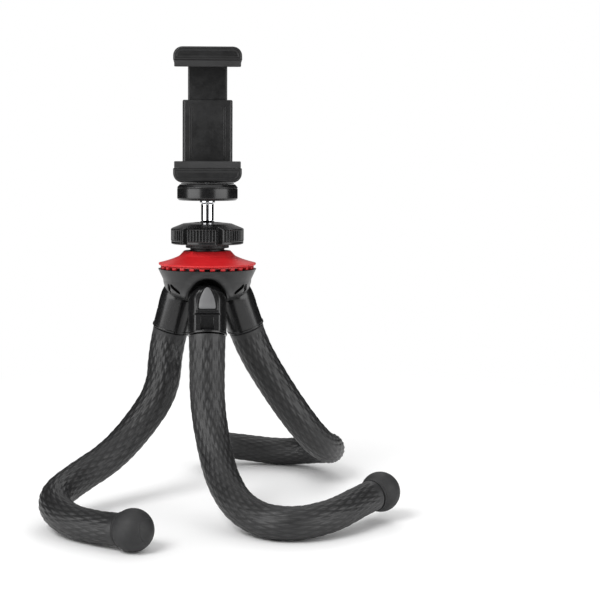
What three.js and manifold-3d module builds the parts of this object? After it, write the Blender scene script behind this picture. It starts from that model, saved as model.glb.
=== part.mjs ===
// A small flexible-leg tripod: three bendable rubber legs hinged under a round hub,
// a ball head with a six-lobed lock knob, a round platform and a spring clamp for a phone.
// Millimetres, +Z up. The model is drawn about the hub's axis, with zero height at the
// leg hinge pins, and is set down on the floor, centred, at the end.
import * as THREE from 'three';
import Module from 'manifold-3d';
import { mergeVertices } from 'three/addons/utils/BufferGeometryUtils.js';

const wasm = await Module();
wasm.setup();

// Clearances
const seatGap = 0.3;        // between pieces that sit on or in each other
const runningGap = 0.35;    // between pieces that turn or slide on each other
const overrun = 2;          // how far a cutter runs past the wall that it cuts

// Fineness of round things, in sides
const fineSides = 30;
const middleSides = 20;
const smallSides = 10;
const lugSides = 14;
const legSides = 12;
const coreSides = 6;
const footSides = 16;
const hexSides = 6;
const arcSteps = 5;

// Hub
const pinHeight = 135.5;        // hinge pins above the floor
const hubRimRadius = 33.3;
const hubRimHeight = 20.9;      // above the pins
const hubFlare = 3.6;           // how far the rim stands out past the belly
const hubBellyHeight = 13.3;
const hubBowlPullInset = 3.1;   // the bowl's pull point inside the belly
const hubBowlPullHeight = 0.8;
const hubBowlFootInset = 16.7;  // the bowl's end inside the belly
const hubBowlFootDrop = 1;      // below the pins
const hubFootDepth = 3.6;       // the middle's foot below the pins
const hubFootInset = 19;        // its edge inside the belly
const hubWall = 2.4;
const pinCircleShare = 0.6757;  // of the rim's radius, where the pins lie
const baySideGap = 0.6;         // between a collar and the arch that it swings in
const bayRise = 16.2;
const bayClearance = 0.5;       // between a collar's dome and the bay's back wall
const hoodProud = 1.5;          // the rolled hood round each arch, outside the bowl
const tongueHalfWidth = 4;      // of the lug that reaches into a collar and holds its pin
const tongueEndRadius = 5.2;
const slotLength = 8.6;
const slotWidth = 2.8;
const slotSpread = 8.2;         // degrees to each side of a lug's middle
const slotSlant = 38;           // degrees from level
const slotHeight = 8.2;
const hubPlateThickness = 2;
const hubBoltRadius = 2.5;
const hubBoltHeadRadius = 4.6;
const hubBoltHeadHeight = 2.6;
const hubBoltSocketRadius = 1.9;
const hubBoltSocketDepth = 1.7;
const hubBoltEngagement = 8;

// Notched ring and cover
const notchRingInset = 1.7;     // inside the hub's rim
const notchRingWidth = 3;
const plateLipWidth = 1.8;      // a lip on the plate closes the notches from inside
const plateLipInset = 0.4;      // its gap to the ring and to the cover
const notchRingHeight = 2;
const notchCount = 28;
const notchShare = 0.5;         // open share of each step round the ring
const notchHeightShare = 0.75;  // of the ring's height, from below
const coverRimInset = 0.2;      // inside the hub's rim
const coverShoulderRadius = 20.3;
const coverTopRadius = 16;
const coverRimThickness = 1.3;
const coverFlareHeight = 4.9;
const coverConeHeight = 3.4;
const coverFlareShare = 0.45;   // of its width and height, where its pull point lies
const coverRimLean = 0.3;       // how much narrower the rim is at its foot
const coverWall = 1.8;

// Ball head
const neckRadius = 11.6;
const neckShow = 2;             // bare neck between the cover and the housing's ring
const housingRingRadius = 14.7;
const housingRingHeight = 2.3;
const barrelRadius = 11.9;
const barrelHeight = 9.6;
const ballRadius = 7.6;
const ballAboveRing = 9.6;      // ball centre above the housing ring
const seatCupWall = 1.1;
const stemRadius = 4.25;
const stemTopHeight = 20.2;     // underside of the platform above the ball centre
const stemSeat = 5;             // how far the stem is pressed into the platform

// Lock knob
const lobeCount = 6;
const lobeHalfAngle = 24.5;     // degrees
const lobeTurn = -10;           // degrees, the front lobe off the front line
const lobeRadius = 24.7;
const valleyRadius = 20.6;
const knobSideHeight = 9.4;     // of the lobes' walls
const knobHeight = 14.6;
const knobShoulderRadius = 15;
const knobShoulderDrop = 1;     // below the crown
const knobCrownRadius = 9;
const knobBandHeight = 2.6;     // plain band under the ribs
const knobChamfer = 0.8;
const ribsPerLobe = 9;
const ribDepth = 0.8;
const ribArcShare = 0.94;       // share of a lobe's arc that carries ribs
const bandArcShare = 0.94;      // share of it that stays round in the plain band
const lobeEndDrop = 1.2;        // how far a lobe's ends lie inside its arc
const knobMouthRadius = 8.8;
const knobThroatHeight = 3.5;    // narrowest place, above the ball centre

// Platform and its screw
const platformRadius = 20.5;
const platformThickness = 10.9;
const platformEdge = 1.3;
const platformTopRadius = 18.8;
const platformTopChamfer = 2;
const padRingRadius = 18;
const padRingThickness = 0.6;
const screwRadius = 3.175;      // the common quarter-inch camera thread
const screwRise = 5;            // above the platform
const screwGrip = 4.1;          // down into the platform

// Phone clamp
const clampWidth = 46;
const clampFrontReach = 13;
const clampBackReach = 13;
const jawHeight = 9.7;
const upperJawHeight = 9.3;
const jawCornerRadius = 6.2;
const jawEdge = 0.9;
const jawSeatCornerRadius = 1.8;
const gripPadThickness = 3.2;
const upperPadThickness = 2.8;
const gripPadInset = 0.7;
const gripPadLip = 1.1;
const gripPadLipWidth = 1.8;
const phoneOpening = 65.1;      // between the pads at rest; they give a millimetre each
const sleeveWidth = 34;
const sleeveHeight = 56;
const sleeveDepth = 10;
const sleeveWall = 1.7;
const sleeveSideWall = 3.3;
const sleeveFloor = 9.7;
const tongueEngagement = 34;    // how far the tongue reaches into the sleeve at rest
const springOuterRadius = 2.2;
const springWireRadius = 0.4;
const springCoils = 11;
const springStepsPerCoil = 8;
const springSides = 5;
const grooveHalfWidth = 4;
const grooveFloor = 3;          // wall under the spring's groove, at the tongue's foot
const grooveTopAboveSleeve = 13;
const stopHeight = 2.6;
const stopBelowMouth = 3;
const coverScrewRadius = 0.95;
const coverScrewHeadRadius = 1.9;
const coverScrewHeadDepth = 1;
const coverScrewLength = 6;
const coverScrewEndInset = 5;
const insertRadius = 4.75;
const insertHeight = 7.6;

// Legs
const collarShare = 0.3844;     // a collar's radius as a share of the hub rim's
const collarFootSpread = 0.3;   // how far its foot stands out past its dome
const collarLipHeight = 1.4;
const collarDrop = 22.4;        // collar's foot below the pin
const facetInset = 2.6;         // flat outer face, inside the dome's radius
const pinRadius = 2;
const pinEndInset = 2.8;        // of a pin's ends inside the collar's closed sides
const slotTurns = [33, 92];     // degrees off the leg's line between which the hub's lug lies
const badgeHalfWidth = 5.9;
const badgeFoot = 6.6;          // below the pin
const badgeTop = 8.3;           // above the pin
const badgeShoulder = 3.7;      // half width where the straight sides turn to the rounded peak
const badgeShoulderRise = 2.6;
const badgeCorner = 1.3;
const badgePeakCorner = 2.6;
const badgeThickness = 0.6;
const badgePeakShare = 1.6;     // a grown outline's peak rises by this share of the growth
const frameWidth = 1.6;
const frameProud = 0.7;
const grooveDrop = 9.4;
const grooveHeight = 0.8;
const grooveDepth = 0.6;
const windowHalfWidth = 4.2;
const windowTopDrop = 11.6;
const windowHeight = 8.6;
const windowDepth = 1.5;
const sleeveGap = 0.5;          // between a collar and its rubber sleeve
const legLength = 235;          // of the rubber sleeve
const legTopInset = 0.3;        // the sleeve's top inside the collar's dome
const legTipRadius = 10;
const legTaperPower = 0.8;      // below one: the leg narrows faster near its top
const zoneCount = 8;
const coreRadius = 3.2;
const coreTopDrop = 8;          // top of the core below the pin
const footRadius = 13;
const footCentreReach = 9;      // ball centre past the sleeve's end
const footSocketDepth = 8;

// A leg's run, in zones of equal length: degrees that each zone bends outwards and sideways
const stepsPerZone = 3;
const legs = [
  { name: 'front', azimuth: -90, splay: 18,
    outward: [-13, 17, 27, 10, 9, -22, -11, 0], sideways: [0, 9, 5, 14, 27, 59, 27, -3] },
  { name: 'left', azimuth: 150, splay: 16.5,
    outward: [-30, 30, 0, 2, -14, -52, -29, -5], sideways: [32, 6, 14, 16, 8, 7, 7, 7] },
  { name: 'right', azimuth: 30, splay: 21.5,
    outward: [4, 4, 15, 24, -11, -22, -1, -8], sideways: [-18, 0, 21, 30, 38, 39, 31, 14] },
];
const liftZone = 3;
const liftSearch = [-20, 20];   // degrees of lift between which each leg finds the floor
const liftSearchSteps = 30;
// Which zones each length of sleeve covers
const sleeveParts = [
  { part: 'sleeve_upper', from: 0, to: 2 },
  { part: 'sleeve_bend_upper', from: 2, to: 3 },
  { part: 'sleeve_middle', from: 3, to: 5 },
  { part: 'sleeve_bend_lower', from: 5, to: 6 },
  { part: 'sleeve_lower', from: 6, to: zoneCount },
];

const radians = THREE.MathUtils.degToRad;

// Materials
function finish(color, roughness, metalness) {
  return new THREE.MeshStandardMaterial({ color, roughness, metalness });
}
const glossBlack = finish(0x141415, 0.25, 0);
const matteBlack = finish(0x1f1f20, 0.55, 0);
const legRubber = finish(0x353536, 0.8, 0);
const gripRubber = finish(0x1a1a1a, 0.9, 0);
const redPlastic = finish(0xd0262b, 0.4, 0);
const badgeGrey = finish(0x747476, 0.45, 0);
const chrome = finish(0xdcdde0, 0.08, 1);
const steel = finish(0x9a9ca0, 0.3, 1);
const brass = finish(0xc2a15a, 0.3, 1);
const nylon = finish(0xe6e4dc, 0.5, 0);
const aluminium = finish(0xb6b8bb, 0.4, 1);

// Solids, joined and cut
function toSolid(geometry) {
  const bare = geometry.clone();
  for (const name of Object.keys(bare.attributes)) if (name !== 'position') bare.deleteAttribute(name);
  const merged = mergeVertices(bare);
  return new wasm.Manifold(new wasm.Mesh({
    numProp: 3,
    vertProperties: Float32Array.from(merged.attributes.position.array),
    triVerts: Uint32Array.from(merged.index.array),
  }));
}

function toGeometry(solid) {
  const mesh = solid.getMesh();
  const geometry = new THREE.BufferGeometry();
  geometry.setAttribute('position', new THREE.BufferAttribute(Float32Array.from(mesh.vertProperties), 3));
  geometry.setIndex(new THREE.BufferAttribute(Uint32Array.from(mesh.triVerts), 1));
  geometry.computeVertexNormals();
  return geometry;
}

function joined(first, ...others) {
  return others.reduce((sum, other) => sum.add(other), first);
}

function cut(body, ...cutters) {
  return cutters.reduce((rest, cutter) => rest.subtract(cutter), body);
}

// A profile of [radius, height] points, in either order, turned about +Z
function turned(profile, sides = fineSides) {
  const points = profile.map(([radius, height]) => new THREE.Vector2(radius, height));
  if (THREE.ShapeUtils.area(points) < 0) points.reverse();
  return toSolid(new THREE.LatheGeometry(points, sides).rotateX(Math.PI / 2));
}

function disc(radius, bottom, top, sides = middleSides) {
  return turned([[0, bottom], [radius, bottom], [radius, top], [0, top]], sides);
}

function tube(outer, inner, bottom, top, sides = middleSides) {
  return turned([[inner, bottom], [outer, bottom], [outer, top], [inner, top], [inner, bottom]], sides);
}

function ball(radius, height, widthSides = middleSides) {
  return toSolid(new THREE.SphereGeometry(radius, widthSides, widthSides / 2)
    .rotateX(Math.PI / 2).translate(0, 0, height));
}

// A block between two opposite corners
function block(low, high) {
  const size = high.map((value, i) => value - low[i]);
  const middle = high.map((value, i) => (value + low[i]) / 2);
  return toSolid(new THREE.BoxGeometry(...size).translate(...middle));
}

// An outline of [across, up] points with rounded corners, as a Shape
function rounded(points, radii) {
  const shape = new THREE.Shape();
  const count = points.length;
  const at = (i) => new THREE.Vector2(...points[(i + count) % count]);
  points.forEach((point, i) => {
    const radius = Array.isArray(radii) ? radii[i] : radii;
    const corner = at(i);
    const before = at(i - 1).sub(corner).setLength(radius).add(corner);
    const after = at(i + 1).sub(corner).setLength(radius).add(corner);
    if (i === 0) shape.moveTo(before.x, before.y);
    else shape.lineTo(before.x, before.y);
    if (radius > 0) shape.quadraticCurveTo(corner.x, corner.y, after.x, after.y);
  });
  shape.closePath();
  return shape;
}

// A shape pushed along its own normal from near to far, with softened rims
function extruded(shape, near, far, edge = 0) {
  return new THREE.ExtrudeGeometry(shape, {
    depth: far - near - 2 * edge,
    bevelEnabled: edge > 0,
    bevelThickness: edge,
    bevelSize: edge,
    bevelOffset: -edge,
    bevelSegments: 2,
    curveSegments: arcSteps,
  }).translate(0, 0, near + edge);
}

// Drawn across X and up Z, pushed back along Y
function alongY(shape, near, far, edge) {
  return toSolid(extruded(shape, -far, -near, edge).rotateX(Math.PI / 2));
}

// Drawn across Y and up Z, pushed out along X
function alongX(shape, near, far, edge) {
  const axes = [new THREE.Vector3(0, 1, 0), new THREE.Vector3(0, 0, 1), new THREE.Vector3(1, 0, 0)];
  return toSolid(extruded(shape, near, far, edge).applyMatrix4(new THREE.Matrix4().makeBasis(...axes)));
}

// A rod through both sides of a piece, along Y
function crossRod(radius, halfLength, sides = smallSides) {
  return toSolid(new THREE.CylinderGeometry(radius, radius, 2 * halfLength, sides));
}

// Copies of a cutter at equal turns about +Z
function around(solid, count, firstTurn = 0) {
  return Array.from({ length: count }, (_, i) => solid.rotate([0, 0, firstTurn + i * 360 / count]));
}

// Points of a curve drawn with one pull point, for a turned profile
function bow(start, pull, end, steps = arcSteps) {
  const curve = new THREE.QuadraticBezierCurve(
    new THREE.Vector2(...start), new THREE.Vector2(...pull), new THREE.Vector2(...end));
  return curve.getPoints(steps).map((point) => [point.x, point.y]);
}

// Points of an arc about the axis' zero height, from straight up to an angle off it
function arc(radius, height, angle, steps) {
  return Array.from({ length: steps + 1 }, (_, i) => [
    radius * Math.sin(angle * i / steps), height + radius * Math.cos(angle * i / steps)]);
}

const tripod = new THREE.Group();

function place(name, solid, material, parent = tripod) {
  const mesh = new THREE.Mesh(solid.isBufferGeometry ? solid : toGeometry(solid), material);
  mesh.name = name;
  parent.add(mesh);
  return mesh;
}

const pinCircleRadius = hubRimRadius * pinCircleShare;
const bellyRadius = hubRimRadius - hubFlare;
const collarRadius = hubRimRadius * collarShare;
const collarFootRadius = collarRadius + collarFootSpread;
const facetReach = collarRadius - facetInset;
const legTopRadius = collarRadius - legTopInset;
const bayHalfWidth = collarRadius + baySideGap;
const bayInnerReach = pinCircleRadius - collarRadius - bayClearance;

// Hub: a round bowl with three hooded arches, each with a bay behind it for a leg's collar.
// A lug in each bay reaches into the collar and holds the hinge pin.
function bowlRadius(height) {
  const share = (height - hubBellyHeight) / (hubRimHeight - hubBellyHeight);
  return bellyRadius + hubFlare * share;
}

function bowlSolid(inset, top) {
  const curve = bow([bellyRadius, hubBellyHeight], [bellyRadius - hubBowlPullInset, hubBowlPullHeight],
    [bellyRadius - hubBowlFootInset, -hubBowlFootDrop]);
  const foot = -hubFootDepth + inset;
  return turned([
    [0, top], [bowlRadius(top) - inset, top], ...curve.map(([radius, height]) => [radius - inset, height]),
    [bellyRadius - hubFootInset - inset, foot], [0, foot]]);
}

function arch(grow, near, foot) {
  const shape = new THREE.Shape();
  shape.moveTo(-bayHalfWidth - grow, -foot);
  shape.lineTo(bayHalfWidth + grow, -foot);
  shape.absellipse(0, 0, bayHalfWidth + grow, bayRise + grow, 0, Math.PI, false);
  shape.closePath();
  return alongX(shape, near, hubRimRadius + overrun);
}

// A lug seen from the side: a rounded end about the pin, and a web back to the hub's middle
function hubTongue() {
  const end = crossRod(tongueEndRadius, tongueHalfWidth, lugSides).translate([pinCircleRadius, 0, 0]);
  const web = block([bayInnerReach - hubWall, -tongueHalfWidth, -hubFootDepth],
    [pinCircleRadius, tongueHalfWidth, tongueEndRadius]);
  return joined(end, web);
}

function hubShell() {
  const foot = -hubFootDepth;
  const hood = arch(hubWall, bayInnerReach - hubWall, hubFootDepth);
  const hoods = around(hood, legs.length, legs[0].azimuth);
  const reach = bowlSolid(-hoodProud, hubRimHeight);
  const outside = joined(bowlSolid(0, hubRimHeight), ...hoods.map((one) => one.intersect(reach)));
  const hollow = cut(bowlSolid(hubWall, hubRimHeight + overrun), ...hoods);
  const bays = around(arch(0, bayInnerReach, hubFootDepth + overrun), legs.length, legs[0].azimuth);
  const pinHole = crossRod(pinRadius + seatGap, tongueHalfWidth + overrun)
    .translate([pinCircleRadius, 0, 0]);
  const boltHole = disc(hubBoltRadius + seatGap, foot - overrun, foot + hubWall + overrun, smallSides);
  const bowl = cut(outside, hollow, ...bays, ...hubSlots());
  return cut(joined(bowl, ...around(hubTongue(), legs.length, legs[0].azimuth)),
    ...around(pinHole, legs.length, legs[0].azimuth), boltHole);
}

// Two slanted slots on each lug between the arches, leaning towards each other at the top
function hubSlots() {
  const half = (slotLength - slotWidth) / 2;
  const shape = new THREE.Shape();
  shape.absarc(half, 0, slotWidth / 2, -Math.PI / 2, Math.PI / 2, false);
  shape.absarc(-half, 0, slotWidth / 2, Math.PI / 2, 3 * Math.PI / 2, false);
  shape.closePath();
  const slot = alongX(shape, bellyRadius - 3 * hubWall, hubRimRadius);
  const firstLug = legs[0].azimuth + 180 / legs.length;
  return [-1, 1].flatMap((side) => around(
    slot.rotate([-side * slotSlant, 0, 0]).translate([0, 0, slotHeight]),
    legs.length, firstLug + side * slotSpread));
}

const plateBottom = hubRimHeight - hubPlateThickness;
const notchRingBottom = hubRimHeight + seatGap;
const coverBottom = notchRingBottom + notchRingHeight + seatGap;
const coverRimTop = coverBottom + coverRimThickness;
const coverShoulder = coverRimTop + coverFlareHeight;
const coverTop = coverShoulder + coverConeHeight;
const neckTop = coverTop + neckShow;
const ringTop = neckTop + housingRingHeight;
const ballHeight = ringTop + ballAboveRing;
const seatRadius = ballRadius + runningGap + seatCupWall;
const seatFloor = ballHeight - ballRadius - runningGap - seatCupWall;
const housingFoot = hubRimHeight + seatGap;

const notchRingRadius = hubRimRadius - notchRingInset;
const notchRingInnerRadius = notchRingRadius - notchRingWidth;
const coverRimRadius = hubRimRadius - coverRimInset;

function hubPlate() {
  const plate = tube(bowlRadius(plateBottom) - hubWall - seatGap, hubBoltRadius + seatGap, plateBottom,
    hubRimHeight, fineSides);
  const lipRadius = notchRingInnerRadius - plateLipInset;
  const lip = tube(lipRadius, lipRadius - plateLipWidth, plateBottom, coverBottom - plateLipInset,
    fineSides);
  return joined(plate, lip);
}

function hubBolt() {
  const headTop = -hubFootDepth - seatGap;
  const head = disc(hubBoltHeadRadius, headTop - hubBoltHeadHeight, headTop, middleSides);
  const shank = disc(hubBoltRadius, headTop, housingFoot + hubBoltEngagement, smallSides);
  const socket = disc(hubBoltSocketRadius, headTop - hubBoltHeadHeight - overrun,
    headTop - hubBoltHeadHeight + hubBoltSocketDepth, hexSides);
  return cut(joined(head, shank), socket);
}

function notchedRing() {
  const ring = tube(notchRingRadius, notchRingInnerRadius, notchRingBottom,
    notchRingBottom + notchRingHeight, fineSides);
  const notchHalf = Math.PI * notchRingRadius / notchCount * notchShare;
  const notch = block([notchRingInnerRadius - overrun, -notchHalf, notchRingBottom - overrun],
    [notchRingRadius + overrun, notchHalf, notchRingBottom + notchRingHeight * notchHeightShare]);
  return cut(ring, ...around(notch, notchCount));
}

function redCover() {
  const hole = neckRadius + seatGap;
  const flare = [coverShoulderRadius + (coverRimRadius - coverShoulderRadius) * coverFlareShare,
    coverRimTop + coverFlareHeight * coverFlareShare];
  const under = (point) => [point[0] - coverWall / 2, point[1] - coverWall];
  const outer = bow([coverShoulderRadius, coverShoulder], flare, [coverRimRadius, coverRimTop]);
  const inner = outer.filter((_, i) => i % 2 === 0).map(under)
    .filter((point) => point[1] > coverBottom).reverse();
  const lip = [coverRimRadius - coverRimLean, coverBottom];
  return turned([
    [hole, coverTop], [coverTopRadius, coverTop], ...outer, lip, [notchRingInnerRadius, coverBottom],
    ...inner, under([coverTopRadius, coverTop]), [hole, coverTop - coverWall], [hole, coverTop]]);
}

// Ball head: a fixed housing with a nylon cup, the ball, and the knob that closes on it
function ballHousing() {
  const body = turned([
    [0, housingFoot], [neckRadius, housingFoot], [neckRadius, neckTop], [housingRingRadius, neckTop],
    [housingRingRadius, ringTop], [barrelRadius, ringTop], [barrelRadius, ringTop + barrelHeight],
    [0, ringTop + barrelHeight]]);
  const bore = disc(seatRadius + seatGap, seatFloor - seatGap, ringTop + barrelHeight + overrun);
  const boltHole = disc(hubBoltRadius + seatGap, housingFoot - overrun,
    housingFoot + hubBoltEngagement + seatGap, smallSides);
  return cut(body, bore, boltHole);
}

function ballSeat() {
  const cup = disc(seatRadius, seatFloor, ballHeight - seatGap);
  return cut(cup, ball(ballRadius + runningGap, ballHeight));
}

// The knob's outline: its lobes' arcs carry ribs, or stay plain halfway down the ribs' depth
function lobedOutline(ribbed) {
  const points = [];
  const lobeStep = 2 * Math.PI / lobeCount;
  const half = radians(lobeHalfAngle);
  const arcHalf = half * (ribbed ? ribArcShare : bandArcShare);
  const arcPoints = ribbed ? 2 * ribsPerLobe : arcSteps;
  const first = radians(legs[0].azimuth + lobeTurn);
  const add = (angle, radius) => points.push(
    new THREE.Vector2(radius * Math.cos(angle), radius * Math.sin(angle)));
  for (let lobe = 0; lobe < lobeCount; lobe += 1) {
    const middle = first + lobe * lobeStep;
    add(middle - lobeStep / 2, valleyRadius);
    add(middle - half, lobeRadius - lobeEndDrop);
    for (let i = 0; i <= arcPoints; i += 1) {
      const depth = ribbed ? ribDepth * (i % 2) : ribDepth / 2;
      add(middle + arcHalf * (2 * i / arcPoints - 1), lobeRadius - depth);
    }
    add(middle + half, lobeRadius - lobeEndDrop);
  }
  return new THREE.Shape(points);
}

function lockKnob() {
  const bottom = ringTop + seatGap;
  const sideTop = bottom + knobSideHeight;
  const top = bottom + knobHeight;
  const bandTop = bottom + knobBandHeight;
  const band = toSolid(extruded(lobedOutline(false), bottom, bandTop));
  const ribs = toSolid(extruded(lobedOutline(true), bandTop - seatGap, top));
  const crown = turned([
    [0, bottom], [lobeRadius - knobChamfer, bottom], [lobeRadius + seatGap, bottom + knobChamfer],
    [lobeRadius + seatGap, sideTop], [lobeRadius - knobChamfer, sideTop + knobChamfer],
    [knobShoulderRadius, top - knobShoulderDrop], [knobCrownRadius, top], [0, top]]);
  const barrelRoom = disc(barrelRadius + runningGap, bottom - overrun,
    ringTop + barrelHeight + runningGap);
  const throat = Math.sqrt((ballRadius + runningGap) ** 2 - knobThroatHeight ** 2);
  const mouth = turned([
    [0, ballHeight], [throat, ballHeight + knobThroatHeight], [knobMouthRadius, top],
    [knobMouthRadius + overrun, top + overrun], [0, top + overrun]]);
  return cut(joined(band, ribs).intersect(crown), barrelRoom,
    ball(ballRadius + runningGap, ballHeight), mouth);
}

const platformBottom = ballHeight + stemTopHeight;
const platformTop = platformBottom + platformThickness;
const screwFoot = platformTop - screwGrip;

function ballStem() {
  const rod = disc(stemRadius, ballHeight, platformBottom + stemSeat);
  return cut(rod, ball(ballRadius + seatGap, ballHeight));
}

function platformDisc() {
  const body = turned([
    [0, platformBottom], [platformRadius - platformEdge, platformBottom],
    [platformRadius, platformBottom + platformEdge],
    [platformRadius, platformTop - platformTopChamfer], [platformTopRadius, platformTop],
    [0, platformTop]]);
  const stemHole = disc(stemRadius + seatGap, platformBottom - overrun,
    platformBottom + stemSeat + seatGap);
  const screwHole = disc(screwRadius + seatGap, platformBottom, platformTop + overrun, smallSides);
  return cut(body, stemHole, screwHole);
}

const padTop = platformTop + seatGap + padRingThickness;

function platformPad() {
  return tube(padRingRadius, screwRadius + 2 * seatGap, platformTop + seatGap, padTop, fineSides);
}

function mountScrew() {
  const tip = platformTop + screwRise;
  return turned([
    [0, screwFoot], [screwRadius, screwFoot],
    [screwRadius, tip - seatGap], [screwRadius - seatGap, tip], [0, tip]], smallSides);
}

place('hub_shell', hubShell(), glossBlack);
place('hub_plate', hubPlate(), matteBlack);
place('hub_bolt', hubBolt(), steel);
place('notched_ring', notchedRing(), redPlastic);
place('red_cover', redCover(), redPlastic);
place('ball_housing', ballHousing(), matteBlack);
place('ball_seat', ballSeat(), nylon);
place('lock_knob', lockKnob(), matteBlack);
place('ball', ball(ballRadius, ballHeight), chrome);
place('ball_stem', ballStem(), chrome);
place('platform_disc', platformDisc(), glossBlack);
place('platform_pad', platformPad(), gripRubber);
place('mount_screw', mountScrew(), steel);

// Phone clamp: a lower jaw with an upright sleeve, and an upper jaw whose tongue slides in it
const clampBottom = padTop + seatGap;
const jawTop = clampBottom + jawHeight;
const phoneBottom = jawTop + seatGap + gripPadThickness;
const phoneTop = phoneBottom + phoneOpening;
const upperJawBottom = phoneTop + upperPadThickness + seatGap;
const upperJawTop = upperJawBottom + upperJawHeight;
const sleeveFront = clampBackReach - sleeveDepth;
const sleeveBack = clampBackReach;
const sleeveTop = clampBottom + sleeveHeight;
const cavityFront = sleeveFront + sleeveWall;
const cavityBack = sleeveBack - sleeveWall;
const cavityHalfWidth = sleeveWidth / 2 - sleeveSideWall;
const tongueFoot = sleeveTop - tongueEngagement;
const grooveFoot = tongueFoot + grooveFloor;
const grooveDeep = 2 * springOuterRadius + seatGap;
const tongueBack = cavityBack - runningGap;
const stopTop = sleeveTop - stopBelowMouth;

// A jaw seen from the front: square where the pad sits, round at its far corners
function jawShape(flat, far) {
  const half = clampWidth / 2;
  const corners = [[-half, flat], [half, flat], [half, far], [-half, far]];
  const order = far < flat ? corners.reverse() : corners;
  const radii = order.map(([, height]) => (height === flat ? jawSeatCornerRadius : jawCornerRadius));
  return rounded(order, radii);
}

function upright(halfWidth, front, back, bottom, top) {
  return block([-halfWidth, front, bottom], [halfWidth, back, top]);
}

function clampBody() {
  const jaw = alongY(jawShape(jawTop, clampBottom), -clampFrontReach, clampBackReach, jawEdge);
  const sleeve = upright(sleeveWidth / 2, sleeveFront, cavityBack,
    clampBottom + jawCornerRadius, sleeveTop);
  const cavity = upright(cavityHalfWidth, cavityFront, cavityBack + overrun,
    clampBottom + sleeveFloor, sleeveTop + overrun);
  const coverRoom = upright(sleeveWidth / 2 + seatGap, cavityBack, sleeveBack + overrun,
    clampBottom - overrun, sleeveTop + overrun);
  const insertHole = disc(insertRadius + seatGap, clampBottom - overrun,
    clampBottom + insertHeight + 2 * seatGap);
  return cut(joined(jaw, sleeve), cavity, coverRoom, insertHole, ...coverScrewRods(seatGap, overrun));
}

function coverScrewPlaces() {
  const across = sleeveWidth / 2 - sleeveSideWall / 2;
  const low = clampBottom + coverScrewEndInset;
  const high = sleeveTop - coverScrewEndInset;
  return [[-across, low], [across, low], [-across, high], [across, high]];
}

// Screw bodies, or the holes for them when grown
function coverScrewRods(grow, behind = 0) {
  const half = (coverScrewLength + behind) / 2;
  return coverScrewPlaces().map(([x, z]) => crossRod(coverScrewRadius + grow, half + grow)
    .translate([x, sleeveBack - coverScrewHeadDepth / 2 - coverScrewLength + half, z]));
}

function coverScrewHeads(grow, behind) {
  const half = (coverScrewHeadDepth + behind) / 2;
  return coverScrewPlaces().map(([x, z]) => crossRod(coverScrewHeadRadius + grow, half + grow)
    .translate([x, sleeveBack - coverScrewHeadDepth + half, z]));
}

function clampBackCover() {
  const plate = upright(sleeveWidth / 2, cavityBack + seatGap, sleeveBack,
    clampBottom + seatGap, sleeveTop);
  const stop = upright(grooveHalfWidth - runningGap, tongueBack - grooveDeep + seatGap,
    cavityBack + 2 * seatGap, stopTop - stopHeight, stopTop);
  return cut(joined(plate, stop), ...coverScrewRods(seatGap, overrun),
    ...coverScrewHeads(seatGap, overrun));
}

function coverScrews() {
  const heads = coverScrewHeads(0, 0);
  return coverScrewRods(0).map((rod, i) => joined(rod, heads[i]));
}

function threadInsert() {
  return tube(insertRadius, screwRadius + seatGap, clampBottom + seatGap,
    clampBottom + seatGap + insertHeight, middleSides);
}

// A grip pad: flat where the phone sits, with a low lip along its front edge
function gripPad(seat, flat) {
  const half = clampWidth / 2 - gripPadInset;
  const front = -clampFrontReach + gripPadInset;
  const back = sleeveFront - seatGap;
  const towards = Math.sign(flat - seat);
  const low = Math.min(seat, flat);
  const high = Math.max(seat, flat);
  const pad = block([-half, front, low], [half, back, high]);
  const lipEnd = flat + towards * gripPadLip;
  const lip = block([-half, front, Math.min(seat, lipEnd)],
    [half, front + gripPadLipWidth, Math.max(seat, lipEnd)]);
  return joined(pad, lip);
}

function upperJaw() {
  const jaw = alongY(jawShape(upperJawBottom, upperJawTop), -clampFrontReach, clampBackReach, jawEdge);
  const tongue = upright(cavityHalfWidth - runningGap, cavityFront + runningGap, tongueBack,
    tongueFoot, upperJawTop - jawCornerRadius);
  const groove = upright(grooveHalfWidth, tongueBack - grooveDeep, tongueBack + overrun,
    grooveFoot, sleeveTop + grooveTopAboveSleeve);
  return cut(joined(jaw, tongue), groove);
}

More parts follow.
